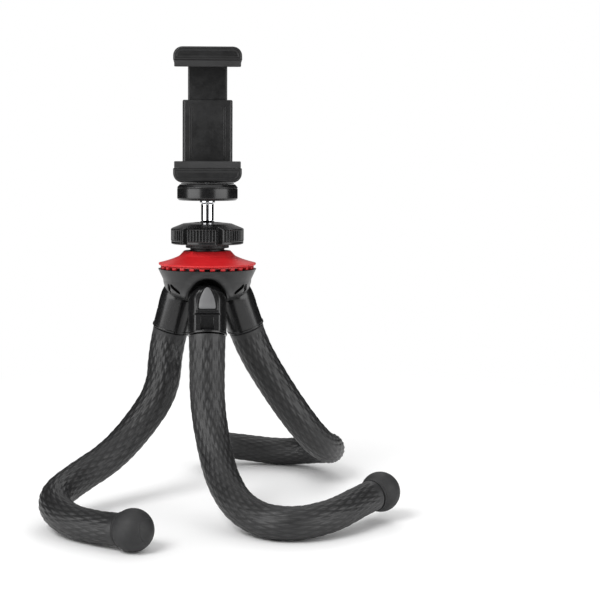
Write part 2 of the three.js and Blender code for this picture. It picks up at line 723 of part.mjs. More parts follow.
// One closed tube swept along points, with a radius at each; a bore runs through it if given
function swept(places, sides, bore = 0, boreSides = 0) {
  const positions = [];
  const ring = (place, radius, count) => {
    const first = positions.length / 3;
    for (let i = 0; i < count; i += 1) {
      const angle = 2 * Math.PI * i / count;
      const point = place.at.clone()
        .addScaledVector(place.side, radius * Math.cos(angle))
        .addScaledVector(place.rise, radius * Math.sin(angle));
      positions.push(point.x, point.y, point.z);
    }
    return first;
  };
  const index = [];
  const skin = (rings, count, inward) => {
    for (let r = 0; r + 1 < rings.length; r += 1) {
      for (let i = 0; i < count; i += 1) {
        const j = (i + 1) % count;
        const [a, b, c, d] = [rings[r] + i, rings[r] + j, rings[r + 1] + i, rings[r + 1] + j];
        if (inward) index.push(a, c, b, b, c, d);
        else index.push(a, b, c, b, d, c);
      }
    }
  };
  const outer = places.map((place) => ring(place, place.radius, sides));
  skin(outer, sides, false);
  const fan = (first, count, middle, flip) => {
    const centre = positions.length / 3;
    positions.push(middle.x, middle.y, middle.z);
    for (let i = 0; i < count; i += 1) {
      const j = (i + 1) % count;
      if (flip) index.push(centre, first + i, first + j);
      else index.push(centre, first + j, first + i);
    }
  };
  fan(outer[0], sides, places[0].at, false);
  fan(outer.at(-1), sides, places.at(-1).at, true);
  const geometry = new THREE.BufferGeometry();
  geometry.setAttribute('position', new THREE.Float32BufferAttribute(positions, 3));
  geometry.setIndex(index);
  const solid = toSolid(geometry);
  if (!bore) return solid;
  const ends = [places[0], places.at(-1)];
  const past = ends.map((place, i) => ({
    ...place, at: place.at.clone().addScaledVector(place.along, i === 0 ? -overrun : overrun) }));
  const cutter = [past[0], ...places, past[1]].map((place) => ({ ...place, radius: bore }));
  return solid.subtract(swept(cutter, boreSides));
}

// The least distance between points of a wound form that are at least so many steps apart
function leastGap(places, apart) {
  const distances = places.flatMap(({ at }, i) => places.slice(i + apart)
    .map((other) => at.distanceTo(other.at)));
  return Math.min(...distances);
}

function clampSpring() {
  const bottom = grooveFoot + seatGap + springWireRadius;
  const top = stopTop - stopHeight - seatGap - springWireRadius;
  const middle = springOuterRadius - springWireRadius;
  const depth = tongueBack - grooveDeep / 2;
  const count = springCoils * springStepsPerCoil;
  const places = [];
  const pitch = (top - bottom) / springCoils;
  const lean = Math.atan2(pitch, 2 * Math.PI * middle);
  for (let i = 0; i <= count; i += 1) {
    const turn = 2 * Math.PI * i / springStepsPerCoil;
    const out = new THREE.Vector3(Math.cos(turn), Math.sin(turn), 0);
    const along = new THREE.Vector3(-Math.sin(turn), Math.cos(turn), 0)
      .multiplyScalar(Math.cos(lean)).setZ(Math.sin(lean));
    places.push({
      at: out.clone().multiplyScalar(middle)
        .add(new THREE.Vector3(0, depth, bottom + (top - bottom) * i / count)),
      side: new THREE.Vector3().crossVectors(along, out).negate(),
      rise: out,
      along,
      radius: springWireRadius,
    });
  }
  const gap = leastGap(places, springStepsPerCoil / 2) - 2 * springWireRadius;
  console.log(`clamp spring: least gap to itself ${gap.toFixed(2)} mm`);
  return swept(places, springSides);
}

place('clamp_body', clampBody(), matteBlack);
place('clamp_back_cover', clampBackCover(), matteBlack);
coverScrews().forEach((screw, i) => place(`cover_screw_${i + 1}`, screw, steel));
place('thread_insert', threadInsert(), brass);
place('lower_pad', gripPad(jawTop + seatGap, phoneBottom), gripRubber);
place('upper_jaw', upperJaw(), matteBlack);
place('upper_pad', gripPad(upperJawBottom - seatGap, phoneTop), gripRubber);
place('clamp_spring', clampSpring(), steel);

// Legs: each in its own frame, with the pin at its origin, +Z back up the leg and +X outwards
function badgeOutline(grow) {
  const half = badgeHalfWidth + grow;
  const shoulder = badgeShoulder + grow;
  const foot = -badgeFoot - grow;
  const peak = badgeTop + badgePeakShare * grow;
  const corner = badgeCorner + grow / 2;
  return rounded([[-half, foot], [half, foot], [shoulder, badgeShoulderRise], [0, peak],
    [-shoulder, badgeShoulderRise]], [corner, corner, 0, badgePeakCorner + grow / 2, 0]);
}

function collar() {
  const dome = arc(collarRadius, 0, Math.PI / 2, arcSteps);
  const body = turned([
    ...dome, [collarFootRadius - seatGap, -collarDrop + collarLipHeight],
    [collarFootRadius, -collarDrop + collarLipHeight], [collarFootRadius, -collarDrop],
    [0, -collarDrop]], middleSides);
  const beyond = block([facetReach, -2 * collarRadius, -collarDrop + collarLipHeight],
    [2 * collarRadius, 2 * collarRadius, 2 * collarRadius]);
  const frame = alongX(badgeOutline(frameWidth), facetReach - 2 * frameProud, facetReach + frameProud);
  const pocket = alongX(badgeOutline(seatGap), facetReach - badgeThickness, facetReach + overrun);
  const groove = block([facetReach - grooveDepth, -collarRadius, -grooveDrop - grooveHeight],
    [facetReach + overrun, collarRadius, -grooveDrop]);
  const window = block([facetReach - windowDepth, -windowHalfWidth, -windowTopDrop - windowHeight],
    [facetReach + overrun, windowHalfWidth, -windowTopDrop]);
  const pinHole = crossRod(pinRadius + runningGap, collarRadius - pinEndInset + runningGap);
  const coreHole = disc(coreRadius + seatGap, -collarDrop - overrun, -coreTopDrop + seatGap, smallSides);
  return cut(joined(cut(body, beyond), frame), pocket, groove, window, pinHole, coreHole, collarSlot());
}

// Room for the hub's lug, at the back of the collar, over the turns that the leg can make:
// all that lies within the lug's reach of any line from the pin between the slot's turns
function collarSlot() {
  const reach = tongueEndRadius + runningGap;
  const far = 2 * collarRadius;
  const [first, last] = slotTurns.map(radians);
  const line = (turn) => new THREE.Vector2(-Math.sin(turn), Math.cos(turn));
  const beside = (turn, way) => new THREE.Vector2(Math.cos(turn), Math.sin(turn))
    .multiplyScalar(way * reach);
  const shape = new THREE.Shape([
    beside(first, 1), beside(first, 1).addScaledVector(line(first), far),
    line((first + last) / 2).multiplyScalar(2 * far),
    beside(last, -1).addScaledVector(line(last), far), beside(last, -1), new THREE.Vector2(0, 0)]);
  const half = tongueHalfWidth + runningGap;
  return joined(alongY(shape, -half, half), crossRod(reach, half, lugSides));
}

function badge() {
  return alongX(badgeOutline(0), facetReach - badgeThickness + seatGap, facetReach + seatGap);
}

function hingePin() {
  return crossRod(pinRadius, collarRadius - pinEndInset);
}

// The run of a leg as places with their own side and rise, from the sleeve's top to its tip.
// A lift, in degrees, bends it straight up from the floor in one zone.
function legRun({ outward, sideways, splay }, lift) {
  const step = legLength / zoneCount / stepsPerZone;
  const upwards = new THREE.Vector3(Math.sin(radians(splay)), 0, Math.cos(radians(splay)));
  const at = new THREE.Vector3(0, 0, -collarDrop - sleeveGap);
  const along = new THREE.Vector3(0, 0, -1);
  const out = new THREE.Vector3(1, 0, 0);
  const across = new THREE.Vector3(0, 1, 0);
  const places = [];
  const note = (travelled) => places.push({ at: at.clone(), along: along.clone(),
    side: across.clone(), rise: out.clone(), radius: legRadius(travelled) });
  note(0);
  for (let zone = 0; zone < zoneCount; zone += 1) {
    for (let i = 1; i <= stepsPerZone; i += 1) {
      const pull = out.clone().multiplyScalar(outward[zone]).addScaledVector(across, sideways[zone])
        .addScaledVector(upwards, zone === liftZone ? lift : 0);
      const spin = new THREE.Vector3().crossVectors(along, pull).divideScalar(stepsPerZone);
      const angle = radians(spin.length());
      const axis = spin.normalize();
      at.addScaledVector(along, step / 2);
      for (const direction of [along, out, across]) direction.applyAxisAngle(axis, angle);
      at.addScaledVector(along, step / 2);
      note(step * (zone * stepsPerZone + i));
    }
  }
  return places;
}

function legRadius(travelled) {
  return legTopRadius - (legTopRadius - legTipRadius) * (travelled / legLength) ** legTaperPower;
}

// Lengths of sleeve meet face to face with a small gap, so each gives up a little at both ends
function sleeveLength(run, from, to) {
  const places = run.slice(from * stepsPerZone, to * stepsPerZone + 1).map((place) => ({ ...place }));
  const trim = (place, direction) => ({
    ...place, at: place.at.clone().addScaledVector(place.along, direction * seatGap / 2) });
  places[0] = trim(places[0], 1);
  places[places.length - 1] = trim(places.at(-1), -1);
  return swept(places, legSides, coreRadius + seatGap, coreSides);
}

function legCore(run) {
  const top = { ...run[0], at: new THREE.Vector3(0, 0, -coreTopDrop) };
  const end = run.at(-1);
  const tip = { ...end, at: end.at.clone().addScaledVector(end.along, footSocketDepth) };
  return swept([top, ...run, tip].map((place) => ({ ...place, radius: coreRadius })), coreSides);
}

// A ball foot, cut flat where it meets the sleeve, with a socket for the core's end
function footCap(run) {
  const end = run.at(-1);
  const hole = coreRadius + seatGap;
  const flatAngle = Math.acos(-(footCentreReach - seatGap) / footRadius);
  const outside = arc(footRadius, footCentreReach, flatAngle, 2 * arcSteps);
  const socketEnd = footSocketDepth + seatGap;
  const solid = turned([...outside, [hole, seatGap], [hole, socketEnd], [0, socketEnd]], footSides);
  const turn = new THREE.Matrix4().makeBasis(
    new THREE.Vector3().crossVectors(end.rise, end.along), end.rise, end.along);
  return toGeometry(solid).applyMatrix4(turn.setPosition(end.at));
}

function legPieces(run) {
  const pieces = sleeveParts.map(({ part, from, to }) => [part, sleeveLength(run, from, to), legRubber]);
  return [...pieces, ['leg_core', legCore(run), aluminium], ['foot_cap', footCap(run), gripRubber]];
}

// How far a leg's lowest point lies below its pin when the leg is splayed
function legDepth(run, splay) {
  const turn = new THREE.Matrix4().makeRotationY(-radians(splay));
  const end = run.at(-1);
  const foot = end.at.clone().addScaledVector(end.along, footCentreReach).applyMatrix4(turn);
  const heights = run.map(({ at, along, radius }) => {
    const slope = along.clone().transformDirection(turn).z;
    return at.clone().applyMatrix4(turn).z - radius * Math.sqrt(1 - slope ** 2);
  });
  return -Math.min(foot.z - footRadius, ...heights);
}

// The run whose lift, an outward bend halfway down, just stands the leg on the floor
function standingRun(leg) {
  let [low, high] = liftSearch;
  for (let i = 0; i < liftSearchSteps; i += 1) {
    const lift = (low + high) / 2;
    if (legDepth(legRun(leg, lift), leg.splay) > pinHeight) low = lift;
    else high = lift;
  }
  return legRun(leg, high);
}

for (const leg of legs) {
  const facing = new THREE.Group();
  facing.rotation.z = radians(leg.azimuth);
  tripod.add(facing);
  const atPin = new THREE.Group();
  atPin.position.x = pinCircleRadius;
  facing.add(atPin);
  place(`${leg.name}_hinge_pin`, hingePin(), steel, atPin);
  const hung = new THREE.Group();
  hung.rotation.y = -radians(leg.splay);
  atPin.add(hung);
  place(`${leg.name}_collar`, collar(), glossBlack, hung);
  place(`${leg.name}_badge`, badge(), badgeGrey, hung);
  for (const [part, solid, material] of legPieces(standingRun(leg))) {
    place(`${leg.name}_${part}`, solid, material, hung);
  }
}

// Set the tripod down: feet on the floor, and the origin under the middle of its outline
tripod.updateMatrixWorld(true);
const reach = new THREE.Box3().setFromObject(tripod, true);
const middle = reach.getCenter(new THREE.Vector3());
tripod.position.set(-middle.x, -middle.y, -reach.min.z);

export default tripod;
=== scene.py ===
import math

import bmesh
import bpy
import numpy as np
from mathutils import Matrix, Vector


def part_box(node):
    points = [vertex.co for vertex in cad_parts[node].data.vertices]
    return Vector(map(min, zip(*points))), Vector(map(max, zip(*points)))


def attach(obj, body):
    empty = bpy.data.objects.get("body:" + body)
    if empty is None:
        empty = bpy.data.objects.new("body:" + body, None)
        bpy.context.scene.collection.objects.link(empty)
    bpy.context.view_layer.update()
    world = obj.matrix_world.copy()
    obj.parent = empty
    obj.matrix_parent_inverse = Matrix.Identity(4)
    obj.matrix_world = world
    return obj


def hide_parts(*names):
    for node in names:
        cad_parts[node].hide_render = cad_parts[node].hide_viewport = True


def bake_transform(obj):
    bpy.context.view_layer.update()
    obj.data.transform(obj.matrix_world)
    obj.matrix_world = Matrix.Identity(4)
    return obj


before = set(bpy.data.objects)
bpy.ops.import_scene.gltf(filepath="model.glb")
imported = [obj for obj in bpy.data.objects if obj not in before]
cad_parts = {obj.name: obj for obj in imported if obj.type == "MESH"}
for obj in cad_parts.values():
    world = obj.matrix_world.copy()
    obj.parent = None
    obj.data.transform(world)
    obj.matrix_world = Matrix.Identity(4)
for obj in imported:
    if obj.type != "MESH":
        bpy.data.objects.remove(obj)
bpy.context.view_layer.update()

mm = 0.001

# Sizes below are in millimetres. Heights on the head are above the leg pins, and lathe
# pieces turn about the hub's axis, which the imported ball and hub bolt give.
hubFrame = {"boltFootBelowPins": 6.5, "pinCircle": 22.5}
runningGap = 0.3
ballLow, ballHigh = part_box("ball")
hubAxis = np.array([(ballLow.x + ballHigh.x) / 2, (ballLow.y + ballHigh.y) / 2,
                    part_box("hub_bolt")[0].z]) / mm
hubAxis[2] += hubFrame["boltFootBelowPins"]


def level(node, end):
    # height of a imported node's foot (0) or top (1) above the leg pins
    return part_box(node)[end].z / mm - hubAxis[2]


stack = {"rim": level("hub_shell", 1), "coverFoot": level("red_cover", 0),
         "ringTop": level("lock_knob", 0) - runningGap, "ball": (level("ball", 0) + level("ball", 1)) / 2,
         "platform": level("platform_disc", 0), "platformTop": level("platform_disc", 1),
         "clamp": level("clamp_body", 0), "sleeveTop": level("clamp_body", 1),
         "lowerPad": level("lower_pad", 0), "upperPad": level("upper_pad", 1),
         "jawTop": level("upper_jaw", 1)}
legNames = ["front", "left", "right"]

# Meshes from arrays

meshing = {"mergeDistance": 1e-6, "sharp": 32, "cornerShare": 0.45, "leastRadius": 0.05}


def gridFaces(rows, columns, wrapRows, first):
    # quads between neighbouring rows of a grid whose columns close on themselves
    r = np.arange(rows if wrapRows else rows - 1)[:, None]
    c = np.arange(columns)[None, :]
    rNext, cNext = (r + 1) % rows, (c + 1) % columns
    quads = [r * columns + c, r * columns + cNext, rNext * columns + cNext, rNext * columns + c]
    return np.stack(np.broadcast_arrays(*quads), -1).reshape(-1, 4) + first


def meshOf(name, grids, wrapRows, masks):
    # one mesh from closed grids of points, poles and seams merged, faces turned outwards
    points = np.concatenate([grid.reshape(-1, 3) for grid in grids]) * mm
    firsts = np.cumsum([0] + [grid.shape[0] * grid.shape[1] for grid in grids])
    faces = np.concatenate([gridFaces(*grid.shape[:2], wrapRows, first)
                            for grid, first in zip(grids, firsts)])
    mesh = bpy.data.meshes.new(name)
    mesh.from_pydata(points.tolist(), [], faces.tolist())
    for maskName, values in masks.items():
        mask = mesh.attributes.new(maskName, "FLOAT", "POINT")
        mask.data.foreach_set("value", values.ravel().astype(np.float32))
    form = bmesh.new()
    form.from_mesh(mesh)
    bmesh.ops.remove_doubles(form, verts=form.verts, dist=meshing["mergeDistance"])
    bmesh.ops.recalc_face_normals(form, faces=form.faces)
    form.to_mesh(mesh)
    form.free()
    return mesh


def linked(name, data):
    thing = bpy.data.objects.new(name, data)
    bpy.context.scene.collection.objects.link(thing)
    return thing


def shaded(piece, sharp=meshing["sharp"]):
    # smooth faces, with edges sharper than so many degrees kept
    piece.data.polygons.foreach_set("use_smooth", np.ones(len(piece.data.polygons), bool))
    piece.data.set_sharp_from_angle(angle=math.radians(sharp))


def pieceOf(name, grids, sharp=meshing["sharp"], wrapRows=False, masks=None):
    piece = linked(name, meshOf(name, grids, wrapRows, masks or {}))
    shaded(piece, sharp)
    return piece


def finished(piece, finishName):
    piece.data.materials.clear()
    piece.data.materials.append(materials[finishName])


def belongs(piece, finishName, body, node):
    # its finish, the body it rides on and the imported node it stands for, which is hidden
    finished(piece, finishName)
    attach(piece, body)
    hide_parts(node)


def softened(profile, radius, steps=4):
    # each inner corner gives way to a quadratic curve that starts and ends radius away from it
    points = [np.array(p, float) for p in profile]
    out = [points[0]]
    for before, corner, after in zip(points, points[1:], points[2:]):
        back, ahead = before - corner, after - corner
        reach = min(radius, np.linalg.norm(back) * meshing["cornerShare"],
                    np.linalg.norm(ahead) * meshing["cornerShare"])
        start = corner + back / np.linalg.norm(back) * reach
        end = corner + ahead / np.linalg.norm(ahead) * reach
        out.extend(curved(start, corner, end, steps))
    return np.array(out + [points[-1]])


def curved(start, pull, end, steps=12):
    # points of a quadratic curve
    t = np.linspace(0, 1, steps + 1)[:, None]
    start, pull, end = (np.array(p, float) for p in (start, pull, end))
    return (1 - t) ** 2 * start + 2 * t * (1 - t) * pull + t ** 2 * end


def turned(profile, sides=160):
    # x = radius cos angle, y = radius sin angle, z = height, about the hub's axis
    profile = np.array(profile, float)
    angle = np.linspace(0, 2 * np.pi, sides, endpoint=False)
    ring = np.stack([np.cos(angle), np.sin(angle), np.zeros(sides)], -1)
    return profile[:, None, :1] * ring + profile[:, None, 1:] * np.array([0, 0, 1]) + hubAxis


def roundedLoop(halfWidth, halfHeight, radii, steps=8):
    # a rectangle's outline anticlockwise from its right lower corner, each corner an arc
    corners = [(1, -1, -90), (1, 1, 0), (-1, 1, 90), (-1, -1, 180)]
    loop = []
    for (x, y, turn), radius in zip(corners, np.broadcast_to(radii, 4)):
        angle = np.radians(turn + np.linspace(0, 90, steps + 1))
        loop.append(np.stack([x * (halfWidth - radius) + radius * np.cos(angle),
                              y * (halfHeight - radius) + radius * np.sin(angle)], -1))
    return np.concatenate(loop)


def closedEnds(levels):
    # a grid whose first and last outlines are closed at their own middles
    ends = [np.repeat(one.mean(0)[None], len(one), 0) for one in (levels[0], levels[-1])]
    return np.array([ends[0], *levels, ends[1]])


def slab(halfWidth, halfHeight, radii, rows, centre, axes):
    # a rounded rectangle set in by each row's first number at the depth of its second; axes are
    # the directions of width, height and depth
    axes = np.array(axes, float)
    levels = []
    for inset, depth in rows:
        inner = np.maximum(np.broadcast_to(radii, 4) - inset, meshing["leastRadius"])
        loop = roundedLoop(halfWidth - inset, halfHeight - inset, inner)
        levels.append(loop @ axes[:2] + depth * axes[2] + centre)
    return closedEnds(levels)


def combined(target, other, operation):
    # target with other added or taken away, as one closed mesh
    step = target.modifiers.new("step", "BOOLEAN")
    step.operation, step.object, step.solver = operation, other, "EXACT"
    mesh = bpy.data.meshes.new_from_object(target.evaluated_get(bpy.context.evaluated_depsgraph_get()))
    target.modifiers.clear()
    target.data = mesh
    bpy.data.objects.remove(other)


# Nodes; a tree is a material's, a world's or a group's

def feed(tree, inputs, given):
    # each named input gets a link from another node's output or a plain value
    for name, value in given.items():
        if isinstance(value, bpy.types.NodeSocket):
            tree.links.new(value, inputs[name])
        else:
            inputs[name].default_value = value


def nodeOf(tree, kind, given, **settings):
    node = tree.nodes.new("ShaderNode" + kind)
    for name, value in settings.items():
        setattr(node, name, value)
    feed(tree, node.inputs, given)
    return node


def objectPlace(tree):
    return nodeOf(tree, "TexCoord", {}).outputs["Object"]


def mathOf(tree, operation, *values, clamped=False):
    node = nodeOf(tree, "Math", dict(enumerate(values)), operation=operation, use_clamp=clamped)
    return node.outputs["Value"]


def mapped(tree, value, fromRange, toRange, curve="LINEAR"):
    given = {"Value": value, "From Min": fromRange[0], "From Max": fromRange[1],
             "To Min": toRange[0], "To Max": toRange[1]}
    return nodeOf(tree, "MapRange", given, interpolation_type=curve).outputs["Result"]


def mixed(tree, factor, first, second, kind="RGBA", blend="MIX"):
    # between two colours, or two numbers where kind is FLOAT
    given = {"Factor": factor, "A": first, "B": second}
    return nodeOf(tree, "Mix", given, data_type=kind, blend_type=blend).outputs["Result"]


def noiseOf(tree, place, scale, detail, roughness=0.5):
    given = {"Vector": place, "Scale": scale, "Detail": detail, "Roughness": roughness}
    return nodeOf(tree, "TexNoise", given).outputs["Fac"]


# Shader groups: each gives out only colours, masks or normals

mottle = {"cloudScale": 60, "cloudDetail": 4, "cloudRange": (0.32, 0.68),
          "hazeScale": 210, "hazeDetail": 6, "hazeRoughness": 0.6, "hazeRange": (0.3, 0.7)}
mark = {"stretch": (60, 220, 40), "lineScale": 3, "lineDetail": 5, "lineRoughness": 0.65, "lineWidth": 0.006,
        "patchScale": 0.5, "patchDetail": 2, "patchRange": (0.55, 0.75)}
grain = {"detail": 3, "distance": 0.00005}
valley = {"maskTop": 0.55}


def newGroup(name, inputs, outputs):
    # the group, what comes into it and what it gives out
    group = bpy.data.node_groups.new(name, "ShaderNodeTree")
    for socketName, kind, value in inputs:
        socket = group.interface.new_socket(socketName, in_out="INPUT", socket_type="NodeSocket" + kind)
        socket.default_value = value
    for socketName, kind in outputs:
        group.interface.new_socket(socketName, in_out="OUTPUT", socket_type="NodeSocket" + kind)
    return group, group.nodes.new("NodeGroupInput").outputs, group.nodes.new("NodeGroupOutput").inputs


def mottleGroup():
    # broad soft clouds between two colours, and finer ones between two roughnesses
    group, start, end = newGroup("mottle", [
        ("Dark", "Color", (0, 0, 0, 1)), ("Light", "Color", (1, 1, 1, 1)), ("Smooth", "Float", 0.3),
        ("Rough", "Float", 0.5)], [("Color", "Color"), ("Roughness", "Float")])
    place = objectPlace(group)
    clouds = noiseOf(group, place, mottle["cloudScale"], mottle["cloudDetail"])
    haze = noiseOf(group, place, mottle["hazeScale"], mottle["hazeDetail"], mottle["hazeRoughness"])
    cloudShare = mapped(group, clouds, mottle["cloudRange"], (0, 1))
    hazeShare = mapped(group, haze, mottle["hazeRange"], (0, 1))
    feed(group, end, {"Color": mixed(group, cloudShare, start["Dark"], start["Light"]),
                      "Roughness": mixed(group, hazeShare, start["Smooth"], start["Rough"], "FLOAT")})
    return group


def grainGroup():
    # fine moulded grain as a normal: small cells with a finer noise over them
    group, start, end = newGroup("grain", [
        ("Scale", "Float", 2500.0), ("Strength", "Float", 0.2), ("Distance", "Float", grain["distance"])],
        [("Normal", "Vector")])
    place = objectPlace(group)
    cells = nodeOf(group, "TexVoronoi", {"Vector": place, "Scale": start["Scale"]}).outputs["Distance"]
    height = mathOf(group, "ADD", cells, noiseOf(group, place, start["Scale"], grain["detail"]))
    bump = nodeOf(group, "Bump", {"Strength": start["Strength"], "Distance": start["Distance"],
                                  "Height": height})
    feed(group, end, {"Normal": bump.outputs["Normal"]})
    return group


def markGroup():
    # thin pale handling marks: stretched noise, kept only where it is near its middle value
    group, start, end = newGroup("marks", [
        ("Color", "Color", (0, 0, 0, 1)), ("Mark", "Color", (0.1, 0.1, 0.1, 1)), ("Amount", "Float", 0.3)],
        [("Color", "Color")])
    stretch = nodeOf(group, "Mapping", {"Scale": mark["stretch"], "Vector": objectPlace(group)})
    place = stretch.outputs["Vector"]
    noise = noiseOf(group, place, mark["lineScale"], mark["lineDetail"], mark["lineRoughness"])
    away = mathOf(group, "ABSOLUTE", mathOf(group, "SUBTRACT", noise, 0.5))
    line = mapped(group, away, (0, mark["lineWidth"]), (1, 0))
    patches = noiseOf(group, place, mark["patchScale"], mark["patchDetail"])
    both = mathOf(group, "MULTIPLY", line, mapped(group, patches, mark["patchRange"], (0, 1)))
    amount = mathOf(group, "MULTIPLY", both, start["Amount"])
    feed(group, end, {"Color": mixed(group, amount, start["Color"], start["Mark"])})
    return group


def paintedShadeGroup():
    # paints shade into the valleys between a leg's long facets, the ring's notches and the hub's inside: the
    # colour is darkened from the mask that each mesh carries
    group, start, end = newGroup("facetShade", [("Color", "Color", (0, 0, 0, 1)), ("ShadeLevel", "Float", 0.6)],
                                 [("Color", "Color")])
    mask = nodeOf(group, "Attribute", {}, attribute_name="facet").outputs["Fac"]
    # where the mask is nothing the colour is darkened to the painted shade level, and above maskTop no shade
    # is painted
    share = mapped(group, mask, (0, valley["maskTop"]), (start["ShadeLevel"], 1))
    feed(group, end, {"Color": mixed(group, 1, start["Color"], share, blend="MULTIPLY")})
    return group


groups = {"mottle": mottleGroup(), "grain": grainGroup(), "marks": markGroup(), "facet": paintedShadeGroup()}

# A finish's facet number is the share of colour left where painted shade falls: in a leg's facet valleys, the
# ring's notches and the hub's inside
finishes = {
    "hubBlack": {"dark": (0.011, 0.011, 0.0114), "light": (0.016, 0.016, 0.0165), "smooth": 0.3,
                 "rough": 0.42, "grain": 0.07, "grainScale": 2400, "marks": 0.2, "mark": 0.05,
                 "specular": 0.45, "facet": 0.06},
    "knobBlack": {"dark": (0.005, 0.005, 0.0052), "light": (0.009, 0.009, 0.0093), "smooth": 0.17,
                  "rough": 0.25, "grain": 0.04, "grainScale": 2400, "marks": 0.2, "mark": 0.05,
                  "specular": 0.5},
    "glossBlack": {"dark": (0.006, 0.006, 0.0063), "light": (0.010, 0.010, 0.0105), "smooth": 0.2,
                   "rough": 0.29, "grain": 0.03, "grainScale": 1800, "marks": 0.2, "mark": 0.05,
                   "specular": 0.42, "coat": 0.15, "coatRough": 0.12},
    "satinBlack": {"dark": (0.009, 0.009, 0.0093), "light": (0.015, 0.015, 0.0155), "smooth": 0.3,
                   "rough": 0.44, "grain": 0.12, "grainScale": 2600, "marks": 0.25, "mark": 0.06,
                   "specular": 0.4},
    "legRubber": {"dark": (0.017, 0.017, 0.0176), "light": (0.025, 0.025, 0.0257), "smooth": 0.36,
                  "rough": 0.5, "grain": 0.2, "grainScale": 2200, "marks": 0.12, "mark": 0.07, "facet": 0.5,
                  "specular": 0.46},
    "gripRubber": {"dark": (0.016, 0.016, 0.0165), "light": (0.027, 0.027, 0.028), "smooth": 0.5,
                   "rough": 0.68, "grain": 0.18, "grainScale": 2400, "marks": 0.2, "mark": 0.09,
                   "specular": 0.35},
    "redPlastic": {"dark": (0.56, 0.010, 0.014), "light": (0.66, 0.018, 0.022), "smooth": 0.36, "rough": 0.5,
                   "grain": 0.05, "grainScale": 2000, "marks": 0.1, "mark": 0.5, "specular": 0.35},
    "badgeGrey": {"dark": (0.13, 0.13, 0.133), "light": (0.19, 0.19, 0.194), "smooth": 0.34, "rough": 0.5,
                  "grain": 0.12, "grainScale": 3200, "marks": 0.15, "mark": 0.4, "specular": 0.4},
    "chrome": {"dark": (0.66, 0.67, 0.69), "light": (0.76, 0.77, 0.79), "smooth": 0.04, "rough": 0.09,
               "grain": 0.01, "grainScale": 1500, "marks": 0.2, "mark": 0.4, "metallic": 1},
    "steel": {"dark": (0.36, 0.365, 0.37), "light": (0.5, 0.505, 0.515), "smooth": 0.22, "rough": 0.4,
              "grain": 0.06, "grainScale": 1800, "marks": 0.3, "mark": 0.7, "metallic": 1},
    "darkSteel": {"dark": (0.05, 0.05, 0.052), "light": (0.09, 0.09, 0.093), "smooth": 0.3, "rough": 0.45,
                  "grain": 0.06, "grainScale": 1800, "marks": 0.3, "mark": 0.3, "metallic": 1},
    "brass": {"dark": (0.5, 0.33, 0.11), "light": (0.66, 0.47, 0.18), "smooth": 0.2, "rough": 0.38,
              "grain": 0.06, "grainScale": 1800, "marks": 0.3, "mark": 0.7, "metallic": 1},
    "nylon": {"dark": (0.66, 0.65, 0.6), "light": (0.76, 0.75, 0.71), "smooth": 0.4, "rough": 0.55,
              "grain": 0.08, "grainScale": 1600, "marks": 0.2, "mark": 0.4},
}
# the ring's notches get painted shade that leaves a hundredth of the red
finishes["ringRed"] = {**finishes["redPlastic"], "facet": 0.01}


def newMaterial(name):
    material = bpy.data.materials.new(name)
    material.use_nodes = True
    return material, material.node_tree


def finishOf(name):
    look = finishes[name]
    material, tree = newMaterial(name)

    def grouped(key, given):
        return nodeOf(tree, "Group", given, node_tree=groups[key]).outputs

    body = grouped("mottle", {"Dark": (*look["dark"], 1), "Light": (*look["light"], 1),
                              "Smooth": look["smooth"], "Rough": look["rough"]})
    tone = (look["mark"], look["mark"], look["mark"], 1)
    colour = grouped("marks", {"Color": body["Color"], "Mark": tone, "Amount": look["marks"]})["Color"]
    # painted shade from the mesh's facet mask
    if "facet" in look:
        colour = grouped("facet", {"Color": colour, "ShadeLevel": look["facet"]})["Color"]
    skin = grouped("grain", {"Scale": look["grainScale"], "Strength": look["grain"]})
    feed(tree, tree.nodes["Principled BSDF"].inputs, {
        "Base Color": colour, "Roughness": body["Roughness"], "Normal": skin["Normal"],
        "Metallic": look.get("metallic", 0), "Specular IOR Level": look.get("specular", 0.5),
        "Coat Weight": look.get("coat", 0), "Coat Roughness": look.get("coatRough", 0.1)})
    return material


materials = {name: finishOf(name) for name in finishes}
print("materials made")

# Camera, floor and light

cameraView = {"back": 900, "above": 88.3, "lens": 79.55, "sensor": 36, "pitch": 2.8, "yaw": 2.0, "roll": 0.2,
              "shift": (0.0773, -0.1097), "clip": (0.05, 50)}

# Floor, cards and lamps are in metres. Cards stand round the object and are seen in reflections
# alone; their angles are in degrees off the line from the object to the camera, to both sides
room = {"floorHalf": 6.0, "floorColour": 0.96, "floorRough": 0.9, "fadeFrom": 0.24, "fadeTo": 0.6,
        "worldLight": 0.66, "backdrop": 1.0, "cardRadius": 1.35, "cardColumns": 24, "lampAim": (0, 0, 0.15)}
cards = {"frontCard": {"from": -25, "to": 25, "low": 0, "high": 0.7, "strength": 0.03},
         "frontTopCard": {"from": -30, "to": 30, "low": 0.7, "high": 2.4, "strength": 0.25},
         "leftLightCard": {"from": -80, "to": -30, "low": 0, "high": 0.8, "strength": 3.6},
         "leftTopCard": {"from": -84, "to": -30, "low": 0.8, "high": 2.4, "strength": 0.4},
         "rightLightCard": {"from": 30, "to": 80, "low": 0, "high": 0.8, "strength": 3.2},
         "rightTopCard": {"from": 30, "to": 84, "low": 0.8, "high": 2.4, "strength": 0.4},
         "leftCard": {"from": -166, "to": -84, "low": 0, "high": 2.4, "strength": 0.02},
         "rightCard": {"from": 84, "to": 166, "low": 0, "high": 2.4, "strength": 0.02},
         "backCard": {"from": 166, "to": 194, "low": 0, "high": 2.4, "strength": 0.3}}
lamps = {"key": {"place": (-0.9, -1.1, 1.5), "size": 1.0, "power": 21},
         "fill": {"place": (1.3, -0.9, 0.9), "size": 1.1, "power": 4},
         "back": {"place": (0.3, 1.4, 1.3), "size": 1.2, "power": 9}}


